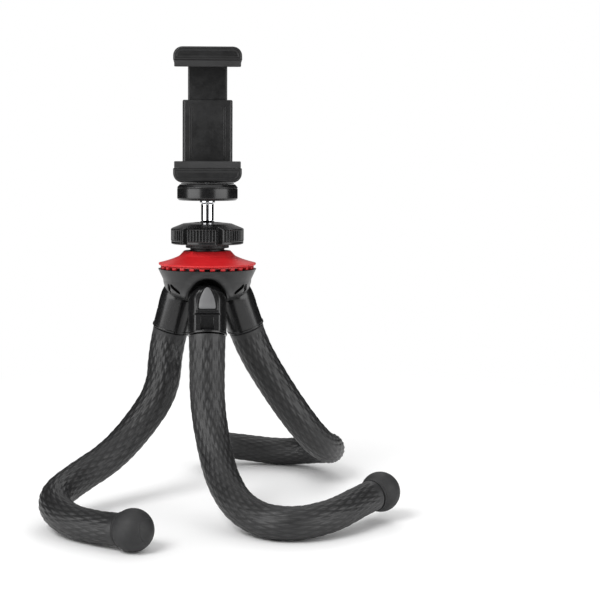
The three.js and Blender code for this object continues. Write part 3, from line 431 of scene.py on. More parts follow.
def makeCamera():
    # in front of the hub's axis, turned by its yaw, tipped down by its pitch and rolled on its view
    data = bpy.data.cameras.new("camera")
    data.lens, data.sensor_width = cameraView["lens"], cameraView["sensor"]
    data.shift_x, data.shift_y = cameraView["shift"]
    data.clip_start, data.clip_end = cameraView["clip"]
    camera = linked("camera", data)
    camera.location = Vector(hubAxis + [0, -cameraView["back"], cameraView["above"]]) * mm
    camera.rotation_euler = (Matrix.Rotation(-math.radians(cameraView["yaw"]), 3, "Z")
                             @ Matrix.Rotation(math.radians(90 - cameraView["pitch"]), 3, "X")
                             @ Matrix.Rotation(math.radians(cameraView["roll"]), 3, "Z")).to_euler()
    bpy.context.scene.camera = camera


def seenAsBackground(tree):
    # one for rays from the camera, from a mirror or through glass
    rays = nodeOf(tree, "LightPath", {}).outputs
    some = mathOf(tree, "ADD", rays["Is Camera Ray"], rays["Is Glossy Ray"])
    return mathOf(tree, "ADD", some, rays["Is Transmission Ray"], clamped=True)


def makeFloor():
    # near the object the floor takes light and shadow; further out it turns into plain white
    half, shade = room["floorHalf"], room["floorColour"]
    mesh = bpy.data.meshes.new("floor")
    corners = [(-half, -half, 0), (half, -half, 0), (half, half, 0), (-half, half, 0)]
    mesh.from_pydata(corners, [], [(0, 1, 2, 3)])
    material, tree = newMaterial("floorWhite")
    shader = tree.nodes["Principled BSDF"]
    feed(tree, shader.inputs, {"Base Color": (shade, shade, shade, 1), "Roughness": room["floorRough"],
                               "Specular IOR Level": 0})
    distance = nodeOf(tree, "VectorMath", {0: objectPlace(tree)}, operation="LENGTH").outputs["Value"]
    away = mapped(tree, distance, (room["fadeFrom"], room["fadeTo"]), (0, 1), "SMOOTHSTEP")
    share = mathOf(tree, "MULTIPLY", away, seenAsBackground(tree))
    plain = nodeOf(tree, "Emission", {}).outputs["Emission"]
    mix = nodeOf(tree, "MixShader", {"Fac": share, 1: shader.outputs["BSDF"], 2: plain})
    feed(tree, tree.nodes["Material Output"].inputs, {"Surface": mix.outputs["Shader"]})
    mesh.materials.append(material)
    linked("floor", mesh)


def makeCards():
    # each card is an upright strip of a round wall, and glows evenly
    columns = room["cardColumns"]
    for name, card in cards.items():
        angle = np.radians(-90 + np.linspace(card["from"], card["to"], columns))
        ring = np.stack([np.cos(angle), np.sin(angle)], -1) * room["cardRadius"]
        points = np.concatenate([np.c_[ring, np.full(columns, z)] for z in (card["low"], card["high"])])
        mesh = bpy.data.meshes.new(name)
        faces = [(i, i + 1, i + columns + 1, i + columns) for i in range(columns - 1)]
        mesh.from_pydata(points.tolist(), [], faces)
        material, tree = newMaterial(name)
        light = nodeOf(tree, "Emission", {"Strength": card["strength"]})
        feed(tree, tree.nodes["Material Output"].inputs, {"Surface": light.outputs["Emission"]})
        mesh.materials.append(material)
        piece = linked(name, mesh)
        piece.visible_camera = piece.visible_diffuse = False
        piece.visible_shadow = piece.visible_transmission = False


def makeWorld():
    world = bpy.data.worlds.new("studio")
    world.use_nodes = True
    bpy.context.scene.world = world
    tree = world.node_tree
    tree.nodes.clear()
    soft, plain = (nodeOf(tree, "Background", {"Color": (1, 1, 1, 1), "Strength": room[key]})
                   for key in ("worldLight", "backdrop"))
    mix = nodeOf(tree, "MixShader", {"Fac": seenAsBackground(tree), 1: soft.outputs["Background"],
                                     2: plain.outputs["Background"]})
    nodeOf(tree, "OutputWorld", {"Surface": mix.outputs["Shader"]})


def makeLamps():
    for name, lamp in lamps.items():
        data = bpy.data.lights.new(name, "AREA")
        data.shape, data.size, data.energy = "DISK", lamp["size"], lamp["power"]
        light = linked(name, data)
        light.location = lamp["place"]
        light.rotation_euler = (Vector(room["lampAim"]) - light.location).to_track_quat("-Z", "Y").to_euler()


makeCamera()
makeFloor()
makeCards()
makeWorld()
makeLamps()
print("camera, floor and light made")

# Hub: a bowl with three arches; the skin swells softly round each arch and rolls into it

hub = {"rimRadius": 33.3, "flare": 3.6, "belly": 13.3, "pullInset": 3.1, "pullHeight": 0.8, "bowlInset": 16.7,
       "bowlFoot": -1.0, "foot": -3.6, "footInset": 19, "wall": 2.4, "floorInset": 2.3, "sides": 300,
       "bowlRows": 46, "rimRows": 22, "bayHalfWidth": 13.4, "bayRise": 16.2, "bayBack": 9.2, "archSteps": 60,
       "swell": 1.15, "swellWidth": 5.2, "swellFade": 3, "roll": 0.8, "rollWidth": 1.1, "lugHalf": 4,
       "lugRadius": 5.2, "lugSinkShare": 0.8, "lugEdge": 0.3, "lugSteps": 44, "slotLength": 8.8,
       "slotWidth": 3.2, "slotFlat": 0.01, "slotWalls": 3, "slotSpread": 8.2, "slotSlant": 38,
       "slotHeight": 8.2, "pinHole": 2.3, "boltHole": 2.8, "boltSides": 32, "coreInset": 0.7,
       "coreSides": 150, "cutterReach": 40, "bayOverrun": 1, "overrun": 2, "shadeDepth": 0.45}
legTurns = {"front": -90, "left": 150, "right": 30}


def bowlLine(inset, rimRows, bowlRows):
    # from the rim straight down to the belly, then a quadratic curve in to the bowl's foot
    belly = hub["rimRadius"] - hub["flare"]
    flare = np.linspace([hub["rimRadius"], stack["rim"]], [belly, hub["belly"]], rimRows + 1)[:-1]
    bowl = curved([belly, hub["belly"]], [belly - hub["pullInset"], hub["pullHeight"]],
                  [belly - hub["bowlInset"], hub["bowlFoot"]], bowlRows)
    foot = [[belly - hub["footInset"], hub["foot"]]]
    return np.concatenate([flare, bowl, foot]) - [inset, 0]


def archLoop(grow, foot):
    # y = half width cos angle, z = rise sin angle, with straight feet below
    angle = np.linspace(0, np.pi, hub["archSteps"] + 1)
    side = hub["bayHalfWidth"] + grow
    arc = np.stack([side * np.cos(angle), (hub["bayRise"] + grow) * np.sin(angle)], -1)
    return np.concatenate([[[side, -foot]], [[side, -foot / 2]], arc, [[-side, -foot / 2]], [[-side, -foot]]])


def archDistance(y, z):
    # how far a point lies outside an arch, seen along it; below the pins the arch runs straight
    high = np.maximum(z, 0) * hub["bayHalfWidth"] / hub["bayRise"]
    return np.hypot(y, high) - hub["bayHalfWidth"]


def pushed(loop, start, end):
    # a closed bar whose outline in the y and z plane runs along x from start to end
    return closedEnds([np.concatenate([np.full((len(loop), 1), x), loop], 1) for x in (start, end)])


def facing(points, turn):
    # turned from +X by so many degrees about the hub's axis
    turn = math.radians(turn)
    spin = np.array([[math.cos(turn), math.sin(turn), 0], [-math.sin(turn), math.cos(turn), 0], [0, 0, 1]])
    return points @ spin + hubAxis


def smooth(share):
    # three squares less two cubes: a step that starts and ends level
    return share * share * (3 - 2 * share)


def bowlSkin():
    # radius of the bowl, plus a swell that fades with the distance from the nearest arch and
    # rolls down at its edge as a quarter circle does; then the inner wall and the floor
    line = bowlLine(0, hub["rimRows"], hub["bowlRows"])
    angle = np.linspace(0, 2 * np.pi, hub["sides"], endpoint=False)[None, :]
    radius, height = line[:, :1] + 0 * angle, line[:, 1:] + 0 * angle
    swell = 0 * radius
    for leg in legNames:
        off = angle - math.radians(legTurns[leg])
        out = archDistance(radius * np.sin(off), height)
        bump = hub["swell"] * smooth(np.clip(1 - out / hub["swellWidth"], 0, 1))
        edge = np.clip(1 - out / hub["rollWidth"], 0, 1)
        bump = bump - hub["roll"] * (1 - np.sqrt(np.maximum(1 - edge * edge, 0)))
        swell = np.maximum(swell, np.where((np.cos(off) > 0) & (out < hub["swellWidth"]), bump, 0))
    ease = (np.clip((stack["rim"] - height) / hub["swellFade"], 0, 1)
            * np.clip((height - hub["bowlFoot"]) / hub["swellFade"], 0, 1))
    radius = radius + swell * ease
    skin = np.stack([radius * np.cos(angle), radius * np.sin(angle), height], -1) + hubAxis
    inner = bowlLine(hub["wall"], 2, 12)[:-1]
    floorTop = hub["foot"] + hub["wall"]
    floor = [[inner[-1][0] - hub["floorInset"], floorTop], [0, floorTop]]
    inside = turned(np.concatenate([inner, floor]), hub["sides"])
    base = turned([[0, hub["foot"]]], hub["sides"])
    return np.concatenate([inside[::-1], skin, base])


def slotForm(side):
    # a capsule outline pushed outwards through the bowl's wall, leaning over by the slant
    loop = roundedLoop(hub["slotLength"] / 2, hub["slotWidth"] / 2, hub["slotWidth"] / 2 - hub["slotFlat"])
    slant = math.radians(hub["slotSlant"]) * side
    lean = np.array([[math.cos(slant), -math.sin(slant)], [math.sin(slant), math.cos(slant)]])
    loop = loop @ lean + [0, hub["slotHeight"]]
    return pushed(loop, hub["rimRadius"] - hub["flare"] - hub["slotWalls"] * hub["wall"], hub["cutterReach"])


def crossForm(loop, halfLength, edge=0.0):
    # a loop in the x and z plane carried along y, with its ends set in by a small edge
    away = loop - loop.mean(0)
    away = away / np.linalg.norm(away, axis=1)[:, None]
    stops = [(-halfLength, edge), (-halfLength + edge, 0), (halfLength - edge, 0), (halfLength, edge)]
    rows = []
    for y, inset in stops if edge else (stops[0], stops[-1]):
        inner = loop - away * inset
        rows.append(np.stack([inner[:, 0], np.full(len(loop), y), inner[:, 1]], -1))
    return closedEnds(rows)


def roundLoop(radius, x=0.0, start=0.0, end=360.0, steps=40):
    # points of an arc in the x and z plane; a full turn leaves out its last point
    angle = np.radians(np.linspace(start, end, steps, endpoint=end - start < 360))
    return np.stack([x + radius * np.cos(angle), radius * np.sin(angle)], -1)


def lugForm():
    # a rounded end about the pin and a web back to the hub's middle
    radius = hub["lugRadius"]
    dip = math.degrees(math.asin(-hub["foot"] / radius))
    end = roundLoop(radius, hubFrame["pinCircle"], -180 + dip, 90, hub["lugSteps"])
    back = hub["bayBack"] - hub["lugSinkShare"] * hub["wall"]
    loop = np.concatenate([[[back, hub["foot"]]], end, [[back, radius]]])
    return crossForm(loop, hub["lugHalf"], hub["lugEdge"])


def shadeInside(mesh):
    # a mask by face for painted shade: one on the bowl's skin, nothing on a face whose middle lies behind it,
    # so that the hub's inside is painted dark
    points = np.empty(len(mesh.polygons) * 3)
    mesh.polygons.foreach_get("center", points)
    points = points.reshape(-1, 3) / mm - hubAxis
    line = bowlLine(0, 6, 24)[::-1]
    depth = np.interp(points[:, 2], line[:, 1], line[:, 0]) - np.hypot(points[:, 0], points[:, 1])
    mask = mesh.attributes.new("facet", "FLOAT", "FACE")
    mask.data.foreach_set("value", (depth < hub["shadeDepth"]).astype(np.float32))


def hubShell():
    # the bowl and the walls of its three bays, less the bays, slots and holes, with three lugs
    foot, reach, over = hub["foot"], hub["cutterReach"], hub["overrun"]
    shell = pieceOf("hubShell", [bowlSkin()])
    core = turned([[0, stack["rim"]], *bowlLine(hub["coreInset"], 6, 24), [0, foot]], hub["coreSides"])
    for leg in legNames:
        loaf = pushed(archLoop(hub["wall"], hub["bayOverrun"] - foot), hub["bayBack"] - hub["wall"], reach)
        bay = pieceOf("bay", [facing(loaf, legTurns[leg])])
        combined(bay, pieceOf("core", [core]), "INTERSECT")
        combined(shell, bay, "UNION")
    opening = pushed(archLoop(0, -2 * foot), hub["bayBack"], reach)
    bays = [facing(opening, legTurns[leg]) for leg in legNames]
    slots = [facing(slotForm(side), legTurns[leg] + 60 + side * hub["slotSpread"])
             for leg in legNames for side in (-1, 1)]
    combined(shell, pieceOf("cutters", bays + slots), "DIFFERENCE")
    for leg in legNames:
        combined(shell, pieceOf("lug", [facing(lugForm(), legTurns[leg])]), "UNION")
    hole = crossForm(roundLoop(hub["pinHole"], hubFrame["pinCircle"]), hub["lugHalf"] + over)
    low, high = foot - over, foot + hub["wall"] + over
    bolt = turned([[0, low], [hub["boltHole"], low], [hub["boltHole"], high], [0, high]], hub["boltSides"])
    holes = [facing(hole, legTurns[leg]) for leg in legNames] + [bolt]
    combined(shell, pieceOf("holes", holes), "DIFFERENCE")
    shadeInside(shell.data)
    shaded(shell)
    belongs(shell, "hubBlack", "hub", "hub_shell")


hubShell()
print("hub shell made")

# Red ring and cover

cover = {"rim": 33.1, "shoulder": 18.9, "top": 15.8, "rimHeight": 1.3, "flareHeight": 4.9, "coneHeight": 3.4,
         "flareShare": 0.4, "lean": 0.3, "wall": 1.8, "hole": 11.9, "holeLip": 0.4, "inner": 28.6,
         "innerStep": 1, "innerRise": 0.3, "underRise": 0.4, "soft": 0.35, "sharp": 12,
         "flareSteps": 20, "sides": 200}
notches = {"outer": 31.6, "inner": 28.6, "height": 2, "count": 28, "openShare": 0.5, "depth": 2.7,
           "heightShare": 0.75, "wallDepth": 0.3, "ledge": 0.02, "soft": 0.12, "sharp": 28,
           "sidesPerNotch": 28, "steepness": 14}


def redCover():
    # from the hole's edge over the crown and down the flare to the rim, then back up inside
    foot = stack["coverFoot"]
    rimTop = foot + cover["rimHeight"]
    shoulder = rimTop + cover["flareHeight"]
    top = shoulder + cover["coneHeight"]
    pull = [cover["shoulder"] + (cover["rim"] - cover["shoulder"]) * cover["flareShare"],
            rimTop + cover["flareHeight"] * cover["flareShare"]]
    flare = curved([cover["shoulder"], shoulder], pull, [cover["rim"], rimTop], cover["flareSteps"])
    rim = softened([flare[-2], [cover["rim"], rimTop], [cover["rim"] - cover["lean"], foot],
                    [cover["inner"], foot], [cover["inner"] - cover["innerStep"], foot + cover["innerRise"]]],
                   cover["soft"])
    under = flare[4:-5] - [cover["wall"] / 2, cover["wall"]]
    crown = softened([[cover["hole"], top - cover["holeLip"]], [cover["hole"], top], [cover["top"], top],
                      [cover["shoulder"], shoulder], flare[2]], cover["soft"])
    inside = [[cover["top"] - cover["wall"] / 2, top - cover["wall"]], [cover["hole"], top - cover["wall"]]]
    under = under[under[:, 1] > foot + cover["underRise"]][::-1]
    profile = np.concatenate([crown, flare[3:-2], rim, under, inside])
    piece = pieceOf("redCover", [turned(profile, cover["sides"])], cover["sharp"], True)
    belongs(piece, "redPlastic", "hub", "red_cover")


def notchedRing():
    # a plain ring whose outer wall steps in by the notch depth over the open share of each turn;
    # the wave is nothing in a notch's middle and one half way to the next
    foot = stack["rim"] + runningGap
    top = foot + notches["height"]
    notchTop = foot + notches["height"] * notches["heightShare"]
    inner, outer = notches["inner"], notches["outer"]
    profile = softened([[inner, foot], [outer, foot], [outer, notchTop - notches["ledge"]], [outer, notchTop],
                        [outer, top], [inner, top], [inner, foot]], notches["soft"], 2)
    sides = notches["count"] * notches["sidesPerNotch"]
    points = turned(profile, sides)
    place = np.arange(sides) / notches["sidesPerNotch"]
    wave = np.abs((place + 0.5) % 1 - 0.5) * 2
    opened = np.clip((notches["openShare"] - wave) * notches["steepness"] + 0.5, 0, 1)
    notched = ((profile[:, 0] > outer - notches["wallDepth"])
               & (profile[:, 1] < notchTop - notches["ledge"] / 2))
    cut = opened[None, :] * notched[:, None]
    flat = (points - hubAxis)[..., :2] * (1 - notches["depth"] / outer * cut)[..., None]
    points = np.concatenate([flat + hubAxis[:2], points[..., 2:]], -1)
    # the mask paints shade into the notches
    piece = pieceOf("notchedRing", [points], notches["sharp"], True, {"facet": 1 - cut})
    belongs(piece, "ringRed", "hub", "notched_ring")


redCover()
notchedRing()
print("cover and ring made")

# Ball head

housing = {"neck": 11.6, "ring": 14.7, "ringHeight": 2.3, "neckFlare": 1.1, "neckFlareHeight": 0.6,
           "groove": 0.35, "grooveHalf": 0.15, "barrel": 11.9, "barrelHeight": 9.6, "bore": 9.35,
           "floor": 37.65, "soft": 0.3, "sides": 144}
stem = {"radius": 4.25, "flange": 5.1, "flangeHeight": 1.5, "flangeSlope": 0.8, "flangeGap": 0.1, "cup": 7.9,
        "cupRows": 8, "seat": 4.9, "soft": 0.35, "sides": 96}


def ballHousing():
    # a neck that flares into a grooved ring, with the ball's barrel on it
    foot, ringTop = stack["rim"] + runningGap, stack["ringTop"]
    neckTop, neck, ring = ringTop - housing["ringHeight"], housing["neck"], housing["ring"]
    middle, groove = (neckTop + ringTop) / 2, ring - housing["groove"]
    grooveLow, grooveHigh = middle - housing["grooveHalf"], middle + housing["grooveHalf"]
    barrelTop = ringTop + housing["barrelHeight"]
    profile = softened([
        [0, foot], [neck, foot], [neck, neckTop - housing["neckFlareHeight"]],
        [neck + housing["neckFlare"], neckTop], [ring, neckTop], [ring, grooveLow], [groove, grooveLow],
        [groove, grooveHigh], [ring, grooveHigh], [ring, ringTop], [housing["barrel"], ringTop],
        [housing["barrel"], barrelTop], [housing["bore"], barrelTop], [housing["bore"], housing["floor"]],
        [0, housing["floor"]]], housing["soft"], 3)
    piece = pieceOf("ballHousing", [turned(profile, housing["sides"])])
    belongs(piece, "satinBlack", "hub", "ball_housing")


def ballStem():
    # a bright rod: hollowed at its foot to the ball's curve, with a low flange at its top
    top, cup = stack["platform"], stem["cup"]
    drop = np.linspace(0, math.asin(stem["radius"] / cup), stem["cupRows"])
    bowl = np.stack([cup * np.sin(drop), stack["ball"] + cup * np.cos(drop)], -1)
    body = softened([
        bowl[-1], [stem["radius"], top - stem["flangeHeight"] - stem["flangeSlope"]],
        [stem["flange"], top - stem["flangeHeight"]], [stem["flange"], top - stem["flangeGap"]],
        [stem["radius"], top - stem["flangeGap"] / 2], [stem["radius"], top + stem["seat"]],
        [0, top + stem["seat"]]], stem["soft"])
    piece = pieceOf("ballStem", [turned(np.concatenate([bowl, body[1:]]), stem["sides"])])
    belongs(piece, "chrome", "platform", "ball_stem")


knob = {"lobes": 6, "lobeHalf": 24.5, "turn": -100, "lobe": 24.7, "valley": 20.6, "side": 9.4, "height": 14.6,
        "shoulder": 16.5, "shoulderDrop": 0.8, "crown": 9, "brow": 1.6, "browDrop": 1.2, "edgeDrop": 2.1,
        "eave": 2.9, "round": 0.9, "roundTurns": (22, 45, 68), "crownRows": 24, "sideRows": 30,
        "band": 2.6, "bandInset": 0.25, "bandEdge": 0.3, "foot": 0.5, "footInset": 0.9, "footRise": 0.12,
        "ribs": 9, "ribDepth": 1.1, "ribShare": 0.94, "ribEnd": 0.3, "ribEndSteepness": 3, "ribTopRise": 0.3,
        "ribTopFade": 0.6, "ribFootFade": 0.5, "mouth": 8.8, "mouthInset": 0.1, "mouthDrop": 0.3,
        "throatHeight": 3.5, "throatRows": 8, "socket": 7.95, "room": 12.25, "roomHeight": 9.95,
        "roomEdge": 0.4, "soft": 3.4, "sharp": 40, "sidesPerLobe": 192}


def lobedRadius(angle):
    # lobes and valleys joined by a soft step in the angle off each lobe's middle
    half = 180 / knob["lobes"]
    off = np.abs((angle + half) % (2 * half) - half)
    start = knob["lobeHalf"] - knob["soft"] / 2
    share = smooth(np.clip((off - start) / (half - start), 0, 1))
    return knob["lobe"] + (knob["valley"] - knob["lobe"]) * share, off


def lockKnob():
    # rings of points from the mouth over the crown and down the ribbed sides, then in under the
    # foot and up through the housing's room and the ball's socket
    bottom = stack["ringTop"] + runningGap
    top, bandTop = bottom + knob["height"], bottom + knob["band"]
    eave = bottom + knob["side"] + knob["eave"]
    sides = knob["lobes"] * knob["sidesPerLobe"]
    angle = 360 * np.arange(sides) / sides
    outline, off = lobedRadius(angle)
    ribReach = knob["lobeHalf"] * knob["ribShare"]
    ribs = 0.5 - 0.5 * np.cos(np.pi * knob["ribs"] * (off / ribReach + 1))
    ribs = ribs * np.clip((ribReach + knob["ribEnd"] - off) * knob["ribEndSteepness"], 0, 1)
    crownRadii = [knob["mouth"], knob["crown"], knob["shoulder"], knob["lobe"] - knob["brow"], knob["lobe"]]
    crownHeights = [top, top, top - knob["shoulderDrop"], eave - knob["browDrop"], eave - knob["edgeDrop"]]
    edge = outline - knob["round"]
    sideTop = np.interp(edge, crownRadii, crownHeights)
    rings = []
    for share in np.linspace(0, 1, knob["crownRows"]):
        radius = knob["mouth"] + (edge - knob["mouth"]) * share
        rings.append((radius, np.interp(radius, crownRadii, crownHeights)))
    for turn in np.radians(knob["roundTurns"]):
        rings.append((outline - knob["round"] * (1 - math.sin(turn)),
                      sideTop - knob["round"] * (1 - math.cos(turn))))
    sideTop = sideTop - knob["round"]
    for share in np.linspace(0, 1, knob["sideRows"]):
        z = sideTop + (bottom + knob["foot"] - sideTop) * share
        ribbed = (np.clip((z - bandTop) / knob["ribFootFade"], 0, 1)
                  * np.clip((sideTop + knob["ribTopRise"] - z) / knob["ribTopFade"], 0, 1))
        band = knob["bandInset"] * (z < bandTop - knob["bandEdge"])
        rings.append((outline - knob["ribDepth"] * ribs * ribbed - band, z))
    rings += [(outline - knob["footInset"] / 2, bottom + knob["footRise"]),
              (outline - knob["footInset"], bottom), (knob["room"] + knob["roomEdge"], bottom),
              (knob["room"], bottom + knob["roomEdge"]),
              (knob["room"], stack["ringTop"] + knob["roomHeight"])]
    for height in np.linspace(rings[-1][1] - stack["ball"], knob["throatHeight"], knob["throatRows"]):
        rings.append((math.sqrt(knob["socket"] ** 2 - height ** 2), stack["ball"] + height))
    rings.append((knob["mouth"] - knob["mouthInset"], top - knob["mouthDrop"]))
    radius, height = (np.array([np.broadcast_to(ring[i], sides) for ring in rings]) for i in (0, 1))
    turn = np.radians(angle + knob["turn"])
    points = np.stack([radius * np.cos(turn), radius * np.sin(turn), height], -1) + hubAxis
    piece = pieceOf("lockKnob", [points], knob["sharp"], True)
    belongs(piece, "knobBlack", "knob", "lock_knob")


platform = {"radius": 20.5, "edge": 1.3, "top": 18.8, "chamfer": 2, "hole": 3.5, "stemHole": 4.6,
            "stemDepth": 5.2, "groove": 0.35, "grooveDrop": 0.9, "grooveHeight": 0.4, "grooveEdge": 0.05,
            "soft": 0.5, "sides": 180, "pad": 18, "padThick": 0.6, "padHole": 3.8, "padEdge": 0.2,
            "padRings": 9, "padRingDepth": 0.15, "padRingSteps": 8, "padSides": 144}


def platformDisc():
    # a disc with a bevelled foot, a thin groove round its side, a chamfered top and a stepped hole
    foot, top, radius = stack["platform"], stack["platformTop"], platform["radius"]
    grooveLow = top - platform["chamfer"] - platform["grooveDrop"]
    grooveHigh, inner = grooveLow + platform["grooveHeight"], radius - platform["groove"]
    seat = foot + platform["stemDepth"]
    profile = softened([
        [platform["stemHole"], foot], [radius - platform["edge"], foot], [radius, foot + platform["edge"]],
        [radius, grooveLow], [inner, grooveLow + platform["grooveEdge"]],
        [inner, grooveHigh - platform["grooveEdge"]], [radius, grooveHigh],
        [radius, top - platform["chamfer"]], [platform["top"], top], [platform["hole"], top],
        [platform["hole"], seat],
        [platform["stemHole"], seat], [platform["stemHole"], foot]], platform["soft"])
    piece = pieceOf("platformDisc", [turned(profile, platform["sides"])], wrapRows=True)
    belongs(piece, "glossBlack", "platform", "platform_disc")


def platformPad():
    # a thin rubber ring whose top carries low rings: height falls by a cosine of the radius
    foot = stack["platformTop"] + runningGap
    top, hole, edge = foot + platform["padThick"], platform["padHole"], platform["padEdge"]
    share = np.linspace(0, 1, platform["padRings"] * platform["padRingSteps"] + 1)
    radius = hole + edge + (platform["pad"] - hole - 2 * edge) * share
    wave = platform["padRingDepth"] * (0.5 - 0.5 * np.cos(2 * np.pi * platform["padRings"] * share))
    face = np.stack([radius, top - wave], -1)
    profile = [[hole, foot], [hole, top - edge], *face,
               [platform["pad"], top - edge], [platform["pad"], foot]]
    piece = pieceOf("platformPad", [turned(profile, platform["padSides"])], wrapRows=True)
    belongs(piece, "gripRubber", "platform", "platform_pad")


ballHousing()
ballStem()
lockKnob()
platformDisc()
platformPad()
print("ball head made")

# Phone clamp; width runs along X, height up Z and depth along Y. A rim is a list of steps, each
# the inset of the outline and its drop below the top

clamp = {"halfWidth": 23, "halfDepth": 13, "jaw": 9.7, "upperJaw": 9.3, "corner": 6.2, "seatCorner": 0.6,
         "edge": 1.4, "edgeSteps": 6, "frameInset": 2.3, "frameSlope": 0.5, "frameFloor": 0.9,
         "frameDrop": 0.3, "sleeveHalf": 17, "sleeveDepth": 10, "sleeveCorner": 2.2, "sleeveFoot": 5,
         "sleeveRim": [(0, 1), (0.25, 0.3), (0.7, 0)], "wall": 1.7, "sideWall": 3.3, "mouthGap": 0.05,
         "mouthLip": 0.4, "mouthDrop": 0.5, "mouthDepth": 24, "ribHalf": 0.8, "ribProud": 0.35,
         "ribCorner": 0.35, "ribSink": 0.6, "ribPlace": 11.5, "ribFoot": 6, "ribTop": 4.6,
         "ribEdge": 0.1, "ribSlope": 0.4,
         "backGap": 0.3, "tongueReach": 34, "tongueGap": 0.35, "tongueCorner": 1.2, "tongueEdge": 0.5,
         "backRim": [(0, 0.45), (0.12, 0.15), (0.45, 0), (2.4, 0), (2.7, 0.3), (3.2, 0.3)]}
grip = {"lowerThick": 3.2, "upperThick": 2.8, "inset": 0.7, "sink": 0.28, "side": 0.02, "corner": 1.2,
        "rim": [(0, 0.4), (0.15, 0.1), (0.5, 0)], "lip": 1.1, "lipWidth": 1.8, "lipProud": 0.3,
        "lipCorner": 0.85, "lipRim": [(0, 0.5), (0.2, 0.15), (0.55, 0)], "ribs": 7, "ribHalf": 0.45,
        "ribCorner": 0.4, "ribInset": 1.5, "ribFirst": 1.3, "ribLast": 1.1, "ribRise": 0.15,
        "ribRim": [(0, 0.45), (0.12, 0.15), (0.3, 0)]}
across, back, up = [1, 0, 0], [0, 1, 0], [0, 0, 1]


def rimRows(rim, top):
    return [(inset, top - drop) for inset, drop in rim]


def jawForm(low, high, seatAbove):
    # a block with round edges in front and behind, and a shallow step that frames its front's middle;
    # its far corners are round and those at the phone nearly square
    half, edge, inset = clamp["halfDepth"], clamp["edge"], clamp["frameInset"]
    floor = -half + clamp["frameDrop"]
    turn = np.linspace(0, np.pi / 2, clamp["edgeSteps"])
    front = [(inset + clamp["frameFloor"], floor), (inset + clamp["frameSlope"], floor), (inset, -half)]
    rim = [(edge * (1 - math.sin(a)), -half + edge * (1 - math.cos(a))) for a in turn]
    behind = [(edge * (1 - math.cos(a)), half - edge * (1 - math.sin(a))) for a in turn]
    far, seat = clamp["corner"], clamp["seatCorner"]
    radii = [far, seat, seat, far] if seatAbove else [seat, far, far, seat]
    centre = hubAxis + [0, 0, (low + high) / 2]
    return slab(clamp["halfWidth"], (high - low) / 2, radii, front + rim + behind, centre, [across, up, back])


def uprightForm(halfWidth, front, rear, radius, rows, x=0.0):
    # an upright bar: its outline in plan at each row's height, set in by the row's first number
    centre = hubAxis + [x, (front + rear) / 2, 0]
    return slab(halfWidth, (rear - front) / 2, radius, rows, centre, [across, back, up])


def clampBody():
    # the lower jaw, the upright sleeve with its open top, and two ribs on the sleeve's front
    low, seat = stack["clamp"], stack["clamp"] + clamp["jaw"]
    rear = clamp["halfDepth"] - clamp["wall"]
    front, top = clamp["halfDepth"] - clamp["sleeveDepth"], stack["sleeveTop"]
    wallIn = clamp["wall"] - clamp["mouthGap"]
    rows = [(0, low + clamp["sleeveFoot"]), *rimRows(clamp["sleeveRim"], top),
            (wallIn - clamp["mouthLip"], top), (wallIn, top - clamp["mouthDrop"]),
            (wallIn, top - clamp["mouthDepth"])]
    sleeve = uprightForm(clamp["sleeveHalf"], front, rear, clamp["sleeveCorner"], rows)
    ribFoot, ribTop, edge = seat + clamp["ribFoot"], top - clamp["ribTop"], clamp["ribEdge"]
    ribRows = [(edge, ribFoot), (0, ribFoot + clamp["ribSlope"]), (0, ribTop - clamp["ribSlope"]),
               (edge, ribTop)]
    ribs = [uprightForm(clamp["ribHalf"], front - clamp["ribProud"], front + clamp["ribSink"],
                        clamp["ribCorner"], ribRows, x) for x in (-clamp["ribPlace"], clamp["ribPlace"])]
    piece = pieceOf("clampBody", [jawForm(low, seat, True), sleeve, *ribs])
    belongs(piece, "satinBlack", "clamp", "clamp_body")


def clampCover():
    # the plate that closes the sleeve's back, with a shallow panel set in
    low, top = stack["clamp"] + clamp["backGap"], stack["sleeveTop"]
    front, rear = clamp["halfDepth"] - clamp["wall"] + clamp["backGap"], clamp["halfDepth"]
    centre = hubAxis + [0, 0, (top + low) / 2]
    plate = slab(clamp["sleeveHalf"], (top - low) / 2, clamp["sleeveCorner"],
                 [(0, front), *rimRows(clamp["backRim"], rear)], centre, [across, up, back])
    belongs(pieceOf("clampCover", [plate]), "satinBlack", "clamp", "clamp_back_cover")


def upperJaw():
    # the upper jaw and the tongue that runs down into the sleeve
    high, gap = stack["jawTop"], clamp["tongueGap"]
    front = clamp["halfDepth"] - clamp["sleeveDepth"] + clamp["wall"] + gap
    rear = clamp["halfDepth"] - clamp["wall"] - gap
    foot = stack["sleeveTop"] - clamp["tongueReach"]
    rows = [(clamp["tongueEdge"], foot), (0, foot + clamp["tongueEdge"]), (0, high - clamp["corner"])]
    half = clamp["sleeveHalf"] - clamp["sideWall"] - gap
    tongue = uprightForm(half, front, rear, clamp["tongueCorner"], rows)
    piece = pieceOf("upperJaw", [jawForm(high - clamp["upperJaw"], high, False), tongue])
    belongs(piece, "satinBlack", "upper_clamp", "upper_jaw")


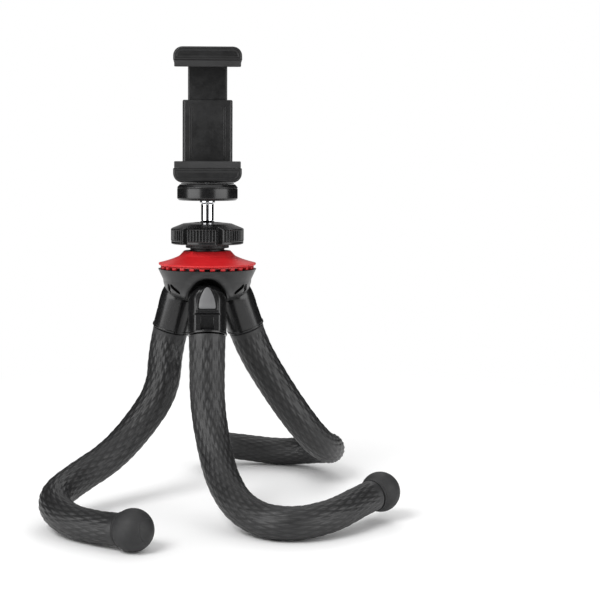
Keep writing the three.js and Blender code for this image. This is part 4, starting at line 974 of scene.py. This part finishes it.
def gripPad(name, node, body, seat, thick, towards):
    # a rubber strip with fine ribs along its face, and a low lip along its front edge
    half = clamp["halfWidth"] - grip["inset"]
    front = -clamp["halfDepth"] + grip["inset"]
    begin, rear = front + grip["lipProud"], clamp["halfDepth"] - clamp["sleeveDepth"] - runningGap
    axes, foot = [across, back, [0, 0, towards]], (0, -grip["sink"])

    def strip(halfWidth, halfDepth, corner, rows, y):
        return slab(halfWidth, halfDepth, corner, rows, hubAxis + [0, y, seat], axes)

    base = strip(half - grip["side"], (rear - begin) / 2, grip["corner"],
                 [foot, *rimRows(grip["rim"], thick)], (begin + rear) / 2)
    lip = strip(half, grip["lipWidth"] / 2, grip["lipCorner"],
                [foot, *rimRows(grip["lipRim"], thick + grip["lip"])], front + grip["lipWidth"] / 2)
    ribRows = rimRows(grip["ribRim"], thick + grip["ribRise"])
    places = np.linspace(front + grip["lipWidth"] + grip["ribFirst"], rear - grip["ribLast"], grip["ribs"])
    ribs = [strip(half - grip["ribInset"], grip["ribHalf"], grip["ribCorner"], ribRows, y) for y in places]
    belongs(pieceOf(name, [base, lip, *ribs]), "gripRubber", body, node)


spring = {"outer": 2.2, "wire": 0.4, "coils": 11, "stepsPerCoil": 36, "sides": 12}


def clampSpring():
    # a helix: the middle runs round a circle while it climbs evenly, and the wire is a ring
    # across its direction
    low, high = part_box("clamp_spring")
    centre = np.array([(low.x + high.x) / 2, (low.y + high.y) / 2]) / mm
    bottom, top = low.z / mm + spring["wire"], high.z / mm - spring["wire"]
    middle = spring["outer"] - spring["wire"]
    turn = np.linspace(0, 2 * np.pi * spring["coils"], spring["coils"] * spring["stepsPerCoil"] + 1)
    out = np.stack([np.cos(turn), np.sin(turn), 0 * turn], -1)
    slope = (top - bottom) / turn[-1]
    along = np.stack([-middle * np.sin(turn), middle * np.cos(turn), slope + 0 * turn], -1)
    along /= np.linalg.norm(along, axis=1)[:, None]
    rise = np.cross(along, out)
    ring = np.linspace(0, 2 * np.pi, spring["sides"], endpoint=False)[None, :, None]
    path = out * middle + np.stack([0 * turn + centre[0], 0 * turn + centre[1], bottom + slope * turn], -1)
    tube = path[:, None] + spring["wire"] * (np.cos(ring) * out[:, None] + np.sin(ring) * rise[:, None])
    ends = [np.repeat(path[i][None], spring["sides"], 0)[None] for i in (0, -1)]
    piece = pieceOf("clampSpring", [np.concatenate([ends[0], tube, ends[1]])])
    finished(piece, "steel")
    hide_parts("clamp_spring")
    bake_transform(piece)


clampBody()
clampCover()
upperJaw()
gripPad("lowerPad", "lower_pad", "clamp", stack["lowerPad"], grip["lowerThick"], 1)
gripPad("upperPad", "upper_pad", "upper_clamp", stack["upperPad"], grip["upperThick"], -1)
clampSpring()
print("phone clamp made")

# Legs; each in its own frame, with the pin at its origin, +Z back up the leg, +X outwards

legs = {"front": {"splay": 18, "lift": 1.148, "outward": [-13, 17, 27, 10, 9, -22, -11, 0],
                  "sideways": [0, 9, 5, 14, 27, 59, 27, -3]},
        "left": {"splay": 16.5, "lift": 1.666, "outward": [-30, 30, 0, 2, -14, -52, -29, -5],
                 "sideways": [32, 6, 14, 16, 8, 7, 7, 7]},
        "right": {"splay": 21.5, "lift": 1.680, "outward": [4, 4, 15, 24, -11, -22, -1, -8],
                  "sideways": [-18, 0, 21, 30, 38, 39, 31, 14]}}
sleeve = {"start": 22.9, "length": 235, "top": 12.2, "tip": 9.7, "taper": 0.8, "zones": 8, "stepsPerZone": 27,
          "liftZone": 3, "cut": 108, "sides": 160, "cellsRound": 20, "cellSteps": 12, "depth": 0.44,
          "plainEnd": 4, "plainShare": 0.4, "edge": 0.8, "sharp": 50,
          "bends": {"upper": (2, 3), "lower": (5, 6)}}
sleeveSteps = sleeve["zones"] * sleeve["stepsPerZone"]
sleeveStep = sleeve["length"] / sleeve["zones"] / sleeve["stepsPerZone"]


def turnedBy(vector, axis, angle):
    # a vector turned about an axis: the part across the axis by cosine and sine, the rest kept
    return (vector * math.cos(angle) + np.cross(axis, vector) * math.sin(angle)
            + axis * (axis @ vector) * (1 - math.cos(angle)))


def legFrame(leg):
    # from the leg's frame to the tripod's: leant by the splay, out to the pin, round to its side
    splay, turn = math.radians(legs[leg]["splay"]), math.radians(legTurns[leg])
    lean = np.array([[math.cos(splay), 0, -math.sin(splay)], [0, 1, 0],
                     [math.sin(splay), 0, math.cos(splay)]])
    spin = np.array([[math.cos(turn), -math.sin(turn), 0], [math.sin(turn), math.cos(turn), 0], [0, 0, 1]])
    return spin @ lean, spin @ [hubFrame["pinCircle"], 0, 0] + hubAxis


def placed(points, leg):
    turnTo, move = legFrame(leg)
    return points @ turnTo.T + move


def legRun(leg):
    # half a step, a turn towards that zone's outward, sideways and upward pulls, half a step
    facts, splay = legs[leg], math.radians(legs[leg]["splay"])
    upwards = np.array([math.sin(splay), 0, math.cos(splay)])
    at, along = np.array([0, 0, -float(sleeve["start"])]), np.array([0, 0, -1.0])
    out, side = np.array([1.0, 0, 0]), np.array([0, 1.0, 0])
    run = [(at, along, out, side)]
    for i in range(sleeveSteps):
        zone = i // sleeve["stepsPerZone"]
        pull = out * facts["outward"][zone] + side * facts["sideways"][zone]
        pull = pull + upwards * (facts["lift"] if zone == sleeve["liftZone"] else 0)
        spin = np.cross(along, pull) / sleeve["stepsPerZone"]
        angle = np.linalg.norm(spin)
        axis = spin / angle
        at = at + along * sleeveStep / 2
        along, out, side = (turnedBy(vector, axis, math.radians(angle)) for vector in (along, out, side))
        at = at + along * sleeveStep / 2
        run.append((at, along, out, side))
    return [np.array(part) for part in zip(*run)]


def facetHeight(turn, travelled):
    # long diamonds in a staggered lattice, each a low pyramid: the least distance to its four sides
    a = turn * sleeve["cellsRound"] / (2 * np.pi)
    b = travelled / (sleeveStep * sleeve["cellSteps"])
    first, second = (a + b) % 1, (a - b) % 1
    height = smooth(2 * np.minimum(np.minimum(first, 1 - first), np.minimum(second, 1 - second)))
    nearEnd = np.minimum(travelled, sleeve["length"] - travelled) / sleeve["plainEnd"]
    return 1 - (1 - height) * np.clip(nearEnd - sleeve["plainShare"], 0, 1)


def sleeveLength(leg, run, first, last, name, joint, nodes):
    # a ring of points at each step, its radius falling to the tip and cut by the facets; an end
    # that shows has a small bevel, and each end closes at its middle
    at, along, out, side = (part[first:last + 1] for part in run)
    travelled = sleeveStep * np.arange(first, last + 1)
    turn = np.linspace(0, 2 * np.pi, sleeve["sides"], endpoint=False)[None, :]
    fall = (travelled / sleeve["length"]) ** sleeve["taper"]
    radius = sleeve["top"] - (sleeve["top"] - sleeve["tip"]) * fall
    facet = facetHeight(turn, travelled[:, None])
    radius = radius[:, None] - sleeve["depth"] * (1 - facet)
    outwards = np.cos(turn)[..., None] * side[:, None] + np.sin(turn)[..., None] * out[:, None]
    points = at[:, None] + radius[..., None] * outwards
    caps = []
    for end, way, shows in ((0, 1, first == 0), (-1, -1, last == sleeveSteps)):
        cap = [np.repeat(at[end][None], sleeve["sides"], 0)]
        if shows:
            cap.append(points[end] - sleeve["edge"] * outwards[end])
            points[end] += way * along[end] * sleeve["edge"] / 2
        caps.append(cap)
    grid = placed(np.array([*caps[0], *points, *caps[1][::-1]]), leg)
    # the facet heights also go out as the mask that paints shade into the valleys between facets
    mask = np.concatenate([facet[:1]] * len(caps[0]) + [facet] + [facet[-1:]] * len(caps[1]))
    piece = pieceOf(name, [grid], sleeve["sharp"], False, {"facet": mask})
    finished(piece, "legRubber")
    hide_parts(*nodes)
    start, end = (placed(run[0][zone * sleeve["stepsPerZone"]], leg) * mm for zone in sleeve["bends"][joint])
    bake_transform(piece)


foot = {"radius": 12.7, "centre": 9, "neckHeight": 2.4, "rim": 10.5, "rimTop": 1.2, "rimLean": 0.15,
        "rimInner": 2, "groove": 10.15, "grooveEdge": 0.35, "grooveTop": 1.75, "grooveFoot": 1.55,
        "ring": 36, "ringFrom": 31, "ringTo": 42, "ringDepth": 0.3, "ringWidth": 3.2, "rows": (16, 23, 40),
        "soft": 0.3, "sharp": 40, "sides": 96}


def footCap(leg, run):
    # a ball's arc from its tip back to the neck, with a shallow ring pressed in near the tip
    at, along, out, side = (part[-1] for part in run)
    endAngle = math.degrees(math.acos((foot["neckHeight"] - foot["centre"]) / foot["radius"]))
    spans = ((0, foot["ringFrom"] - 1), (foot["ringFrom"], foot["ringTo"]), (foot["ringTo"] + 2, endAngle))
    angle = np.concatenate([np.linspace(*span, rows) for span, rows in zip(spans, foot["rows"])])
    away = (angle - foot["ring"]) / foot["ringWidth"] * 2
    radius = foot["radius"] - foot["ringDepth"] * np.exp(-away ** 2)
    angle = np.radians(angle)
    arc = np.stack([radius * np.sin(angle), foot["centre"] + radius * np.cos(angle)], -1)
    neck = softened([arc[-1], [foot["groove"] + foot["grooveEdge"], foot["grooveTop"]],
                     [foot["groove"], foot["grooveFoot"]], [foot["rim"], foot["rimTop"]],
                     [foot["rim"] - foot["rimLean"], runningGap],
                     [foot["rim"] - foot["rimInner"], runningGap], [0, runningGap]], foot["soft"])
    profile = np.concatenate([arc, neck[1:]])
    turn = np.linspace(0, 2 * np.pi, foot["sides"], endpoint=False)[None, :, None]
    ring = np.cos(turn) * side + np.sin(turn) * out
    points = at + profile[:, None, :1] * ring + profile[:, None, 1:] * along
    piece = pieceOf(leg + "FootCap", [placed(points, leg)], foot["sharp"])
    belongs(piece, "gripRubber", leg + "_leg_foot", leg + "_foot_cap")


pin = {"radius": 2, "half": 10.0, "edge": 0.35, "socket": 1.0, "socketDepth": 0.9, "room": 0.35, "soft": 0.12,
       "sides": 40}
collar = {"radius": 12.8, "domeRows": 46, "barrelRows": 92, "barrelTop": 0.2, "barrelFoot": 0.3,
          "footRadius": 13.1, "footStep": 0.3, "lip": 1.4, "lipStep": 0.35, "lipSlope": 0.1, "lipInner": 2,
          "lipSoft": 0.3, "drop": 22.4, "facet": 10.2, "facetSoft": 0.5, "faceColumns": 150,
          "restColumns": 90, "faceAngle": 44, "badgeHalf": 5.95, "badgeFoot": 6.6, "badgeRise": 17,
          "peakRound": 1.6, "badgeCorner": 1.1, "frameWidth": 1.6, "frameProud": 0.7, "frameSoft": 0.45,
          "pocket": 0.6, "pocketEdge": 0.25, "ridgeDrop": 8.3, "ridgeHeight": 1.0, "ridgeProud": 0.6,
          "ridgeHalf": 6.6, "ridgeSoft": 0.4, "grooveDrop": 9.5, "grooveHeight": 0.9, "grooveDepth": 0.8,
          "grooveHalf": 20, "grooveSoft": 0.35, "windowHalf": 4.2, "windowTop": 11.6, "windowHeight": 8.8,
          "windowDepth": 0.9, "windowLean": 0.27, "step": 0.22, "pinHole": 2.35, "slotHalf": 4.35,
          "slotReach": 5.55, "slotTurns": (33, 92), "slotSteps": 30}


def badgeDistance(y, z):
    # the signed distance to a pointed arch: each side is a circle centred on the foot line, the
    # peak is rounded, and so are the two corners
    half, rise, corner = collar["badgeHalf"], collar["badgeRise"], collar["badgeCorner"]
    radius = (rise * rise + half * half) / (2 * half)
    above = z + collar["badgeFoot"]
    side = np.hypot(np.hypot(y, collar["peakRound"]) + radius - half, np.maximum(above, 0)) - radius
    beside, below = side + corner, corner - above
    inside = np.minimum(np.maximum(beside, below), 0)
    return inside + np.hypot(np.maximum(beside, 0), np.maximum(below, 0)) - corner


def stepUp(value, width):
    return smooth(np.clip(value / width + 0.5, 0, 1))


def boxShare(y, z, half, top, height, width):
    # one inside a box from its top down through its height, fading over the width at its sides
    return stepUp(half - np.abs(y), width) * stepUp(z + top + height, width) * stepUp(-top - z, width)


def collarForm():
    # a dome on a slowly widening barrel; where it passes the flat outer face it is brought back to
    # it by a soft minimum, and the frame, ridge, groove and window are pressed into that face
    radius, wide, low = collar["radius"], collar["footRadius"], -collar["drop"]
    lipTop, soft = low + collar["lip"], collar["step"]
    domeAngle = np.linspace(0, np.pi / 2, collar["domeRows"])
    dome = np.stack([radius * np.sin(domeAngle), radius * np.cos(domeAngle)], -1)
    z = np.linspace(-collar["barrelTop"], lipTop + collar["barrelFoot"], collar["barrelRows"])
    barrel = np.stack([radius + (wide - collar["footStep"] - radius) * (z / low), z], -1)
    lip = softened([barrel[-1], [wide - collar["lipStep"], lipTop + collar["lipSlope"]],
                    [wide, lipTop - collar["lipSlope"]], [wide, low], [wide - collar["lipInner"], low],
                    [0, low]], collar["lipSoft"])
    profile = np.concatenate([dome, barrel, lip[1:]])
    faceAngle = math.radians(collar["faceAngle"])
    turn = np.concatenate([np.linspace(start, end, columns, endpoint=False) for start, end, columns in (
        (-faceAngle, faceAngle, collar["faceColumns"]),
        (faceAngle, 2 * np.pi - faceAngle, collar["restColumns"]))])
    x, y = profile[:, :1] * np.cos(turn), profile[:, :1] * np.sin(turn)
    z = np.repeat(profile[:, 1:], len(turn), 1)
    distance = badgeDistance(y, z)
    relief = collar["frameProud"] * stepUp(collar["frameWidth"] - distance, collar["frameSoft"])
    pocket = collar["frameProud"] + collar["pocket"]
    relief = relief - pocket * stepUp(collar["pocketEdge"] - distance, soft)
    relief = np.maximum(relief, collar["ridgeProud"] * boxShare(
        y, z, collar["ridgeHalf"], collar["ridgeDrop"], collar["ridgeHeight"], collar["ridgeSoft"]))
    relief = relief - collar["grooveDepth"] * boxShare(
        y, z, collar["grooveHalf"], collar["grooveDrop"], collar["grooveHeight"], collar["grooveSoft"])
    deep = collar["windowDepth"] + collar["windowLean"] * np.maximum(-collar["windowTop"] - z, 0)
    relief = relief - deep * boxShare(
        y, z, collar["windowHalf"], collar["windowTop"], collar["windowHeight"], soft)
    face, blend = collar["facet"] + relief, collar["facetSoft"]
    gap = np.clip(0.5 + 0.5 * (face - x) / blend, 0, 1)
    flattened = face * (1 - gap) + x * gap - blend * gap * (1 - gap)
    onFace = (z > lipTop) & (np.abs(turn) < faceAngle * 1.01)[None, :]
    return np.stack([np.where(onFace, np.minimum(flattened, x), x), y, z], -1)


def collarSlot():
    # the room for the hub's lug: round about the pin, and open at the back between two lines
    first, last = np.radians(collar["slotTurns"])
    reach, far = collar["slotReach"], 2 * collar["radius"]

    def heading(turn):
        return np.array([-math.sin(turn), math.cos(turn)])

    start = reach * np.array([math.cos(first), math.sin(first)])
    end = -reach * np.array([math.cos(last), math.sin(last)])
    rounding = roundLoop(reach, 0, math.degrees(last) - 180, math.degrees(first), collar["slotSteps"])
    outer = [start + far * heading(first), 2 * far * heading((first + last) / 2), end + far * heading(last)]
    return crossForm(np.concatenate([rounding, outer]), collar["slotHalf"])


def cutCollar():
    # one collar about the origin, less the lug's slot and the blind hole for the pin
    form = pieceOf("collarForm", [collarForm()])
    hole = crossForm(roundLoop(collar["pinHole"]), pin["half"] + pin["room"])
    combined(form, pieceOf("slot", [collarSlot()]), "DIFFERENCE")
    combined(form, pieceOf("hole", [hole]), "DIFFERENCE")
    mesh = form.data
    bpy.data.objects.remove(form)
    return mesh


collarMesh = cutCollar()


def legCollar(leg):
    # a copy of that collar, set in the leg's place
    mesh = collarMesh.copy()
    points = np.empty(len(mesh.vertices) * 3)
    mesh.vertices.foreach_get("co", points)
    mesh.vertices.foreach_set("co", (placed(points.reshape(-1, 3) / mm, leg) * mm).ravel())
    piece = linked(leg + "Collar", mesh)
    shaded(piece)
    belongs(piece, "glossBlack", leg + "_leg_top", leg + "_collar")


def hingePin(leg):
    # a plain pin with rounded rims and a small blind socket in each end, lying across the leg
    half, radius, floor = pin["half"], pin["radius"], pin["half"] - pin["socketDepth"]
    end = [[0, floor], [pin["socket"], floor], [pin["socket"], half], [radius - pin["edge"], half],
           [radius, half - pin["edge"]]]
    profile = softened(end + [[point[0], -point[1]] for point in end[::-1]], pin["soft"], 2)
    angle = np.linspace(0, 2 * np.pi, pin["sides"], endpoint=False)[None, :]
    points = np.stack([profile[:, :1] * np.cos(angle) + hubFrame["pinCircle"], profile[:, 1:] + 0 * angle,
                       profile[:, :1] * np.sin(angle)], -1)
    piece = pieceOf(leg + "HingePin", [facing(points, legTurns[leg])])
    belongs(piece, "darkSteel", "hub", leg + "_hinge_pin")


badge = {"proud": 0.3, "depth": 0.45, "edge": 0.35, "gap": 0.1, "low": 1.5, "reach": 16.0, "halvings": 24,
         "rimShare": 0.985, "rimEdgeShare": 0.3, "faceRise": [(0.94, 0), (0.6, 0.06), (0.2, 0.09)],
         "sharp": 40, "sides": 120}


def badgeForm():
    # the outline is where the badge's distance is just under nothing, found by halving along rays
    # from its middle; it is set in at its rim, and its face rises slightly to the middle
    centre = np.array([0, -badge["low"]])
    turn = np.linspace(0, 2 * np.pi, badge["sides"], endpoint=False)
    ray = np.stack([np.cos(turn), np.sin(turn)], -1)
    near, far = np.zeros(badge["sides"]), np.full(badge["sides"], badge["reach"])
    for _ in range(badge["halvings"]):
        middle = (near + far) / 2
        place = centre + ray * middle[:, None]
        outside = badgeDistance(place[:, 0], place[:, 1]) > -badge["gap"]
        near, far = np.where(outside, near, middle), np.where(outside, middle, far)
    base, face = collar["facet"] - badge["depth"], collar["facet"] + badge["proud"]
    rows = [(1, base), (1, face - badge["edge"]),
            (badge["rimShare"], face - badge["edge"] * badge["rimEdgeShare"]),
            *((share, face + rise) for share, rise in badge["faceRise"])]
    loop = ray * near[:, None]
    return closedEnds([np.concatenate([np.full((len(loop), 1), x), centre + loop * share], 1)
                       for share, x in rows])


def legBadge(leg):
    piece = pieceOf(leg + "Badge", [placed(badgeForm(), leg)], badge["sharp"])
    belongs(piece, "badgeGrey", leg + "_leg_top", leg + "_badge")


for leg in legNames:
    run = legRun(leg)
    sleeveLength(leg, run, 0, sleeve["cut"], leg + "SleeveUpper", "upper",
                 [leg + "_sleeve_upper", leg + "_sleeve_bend_upper", leg + "_sleeve_middle",
                  leg + "_leg_core"])
    sleeveLength(leg, run, sleeve["cut"], sleeveSteps, leg + "SleeveLower", "lower",
                 [leg + "_sleeve_bend_lower", leg + "_sleeve_lower"])
    legCollar(leg)
    legBadge(leg)
    hingePin(leg)
    footCap(leg, run)
    print(leg, "leg made")

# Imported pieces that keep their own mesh

keptFinishes = {"hub_plate": "satinBlack", "hub_bolt": "steel", "ball_seat": "nylon", "ball": "chrome",
                "mount_screw": "steel", "thread_insert": "brass", "cover_screw_1": "steel",
                "cover_screw_2": "steel", "cover_screw_3": "steel", "cover_screw_4": "steel"}
for node, finishName in keptFinishes.items():
    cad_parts[node].material_slots[0].material = materials[finishName]
print("packed pieces finished")

bpy.context.scene.view_settings.view_transform = "Standard"
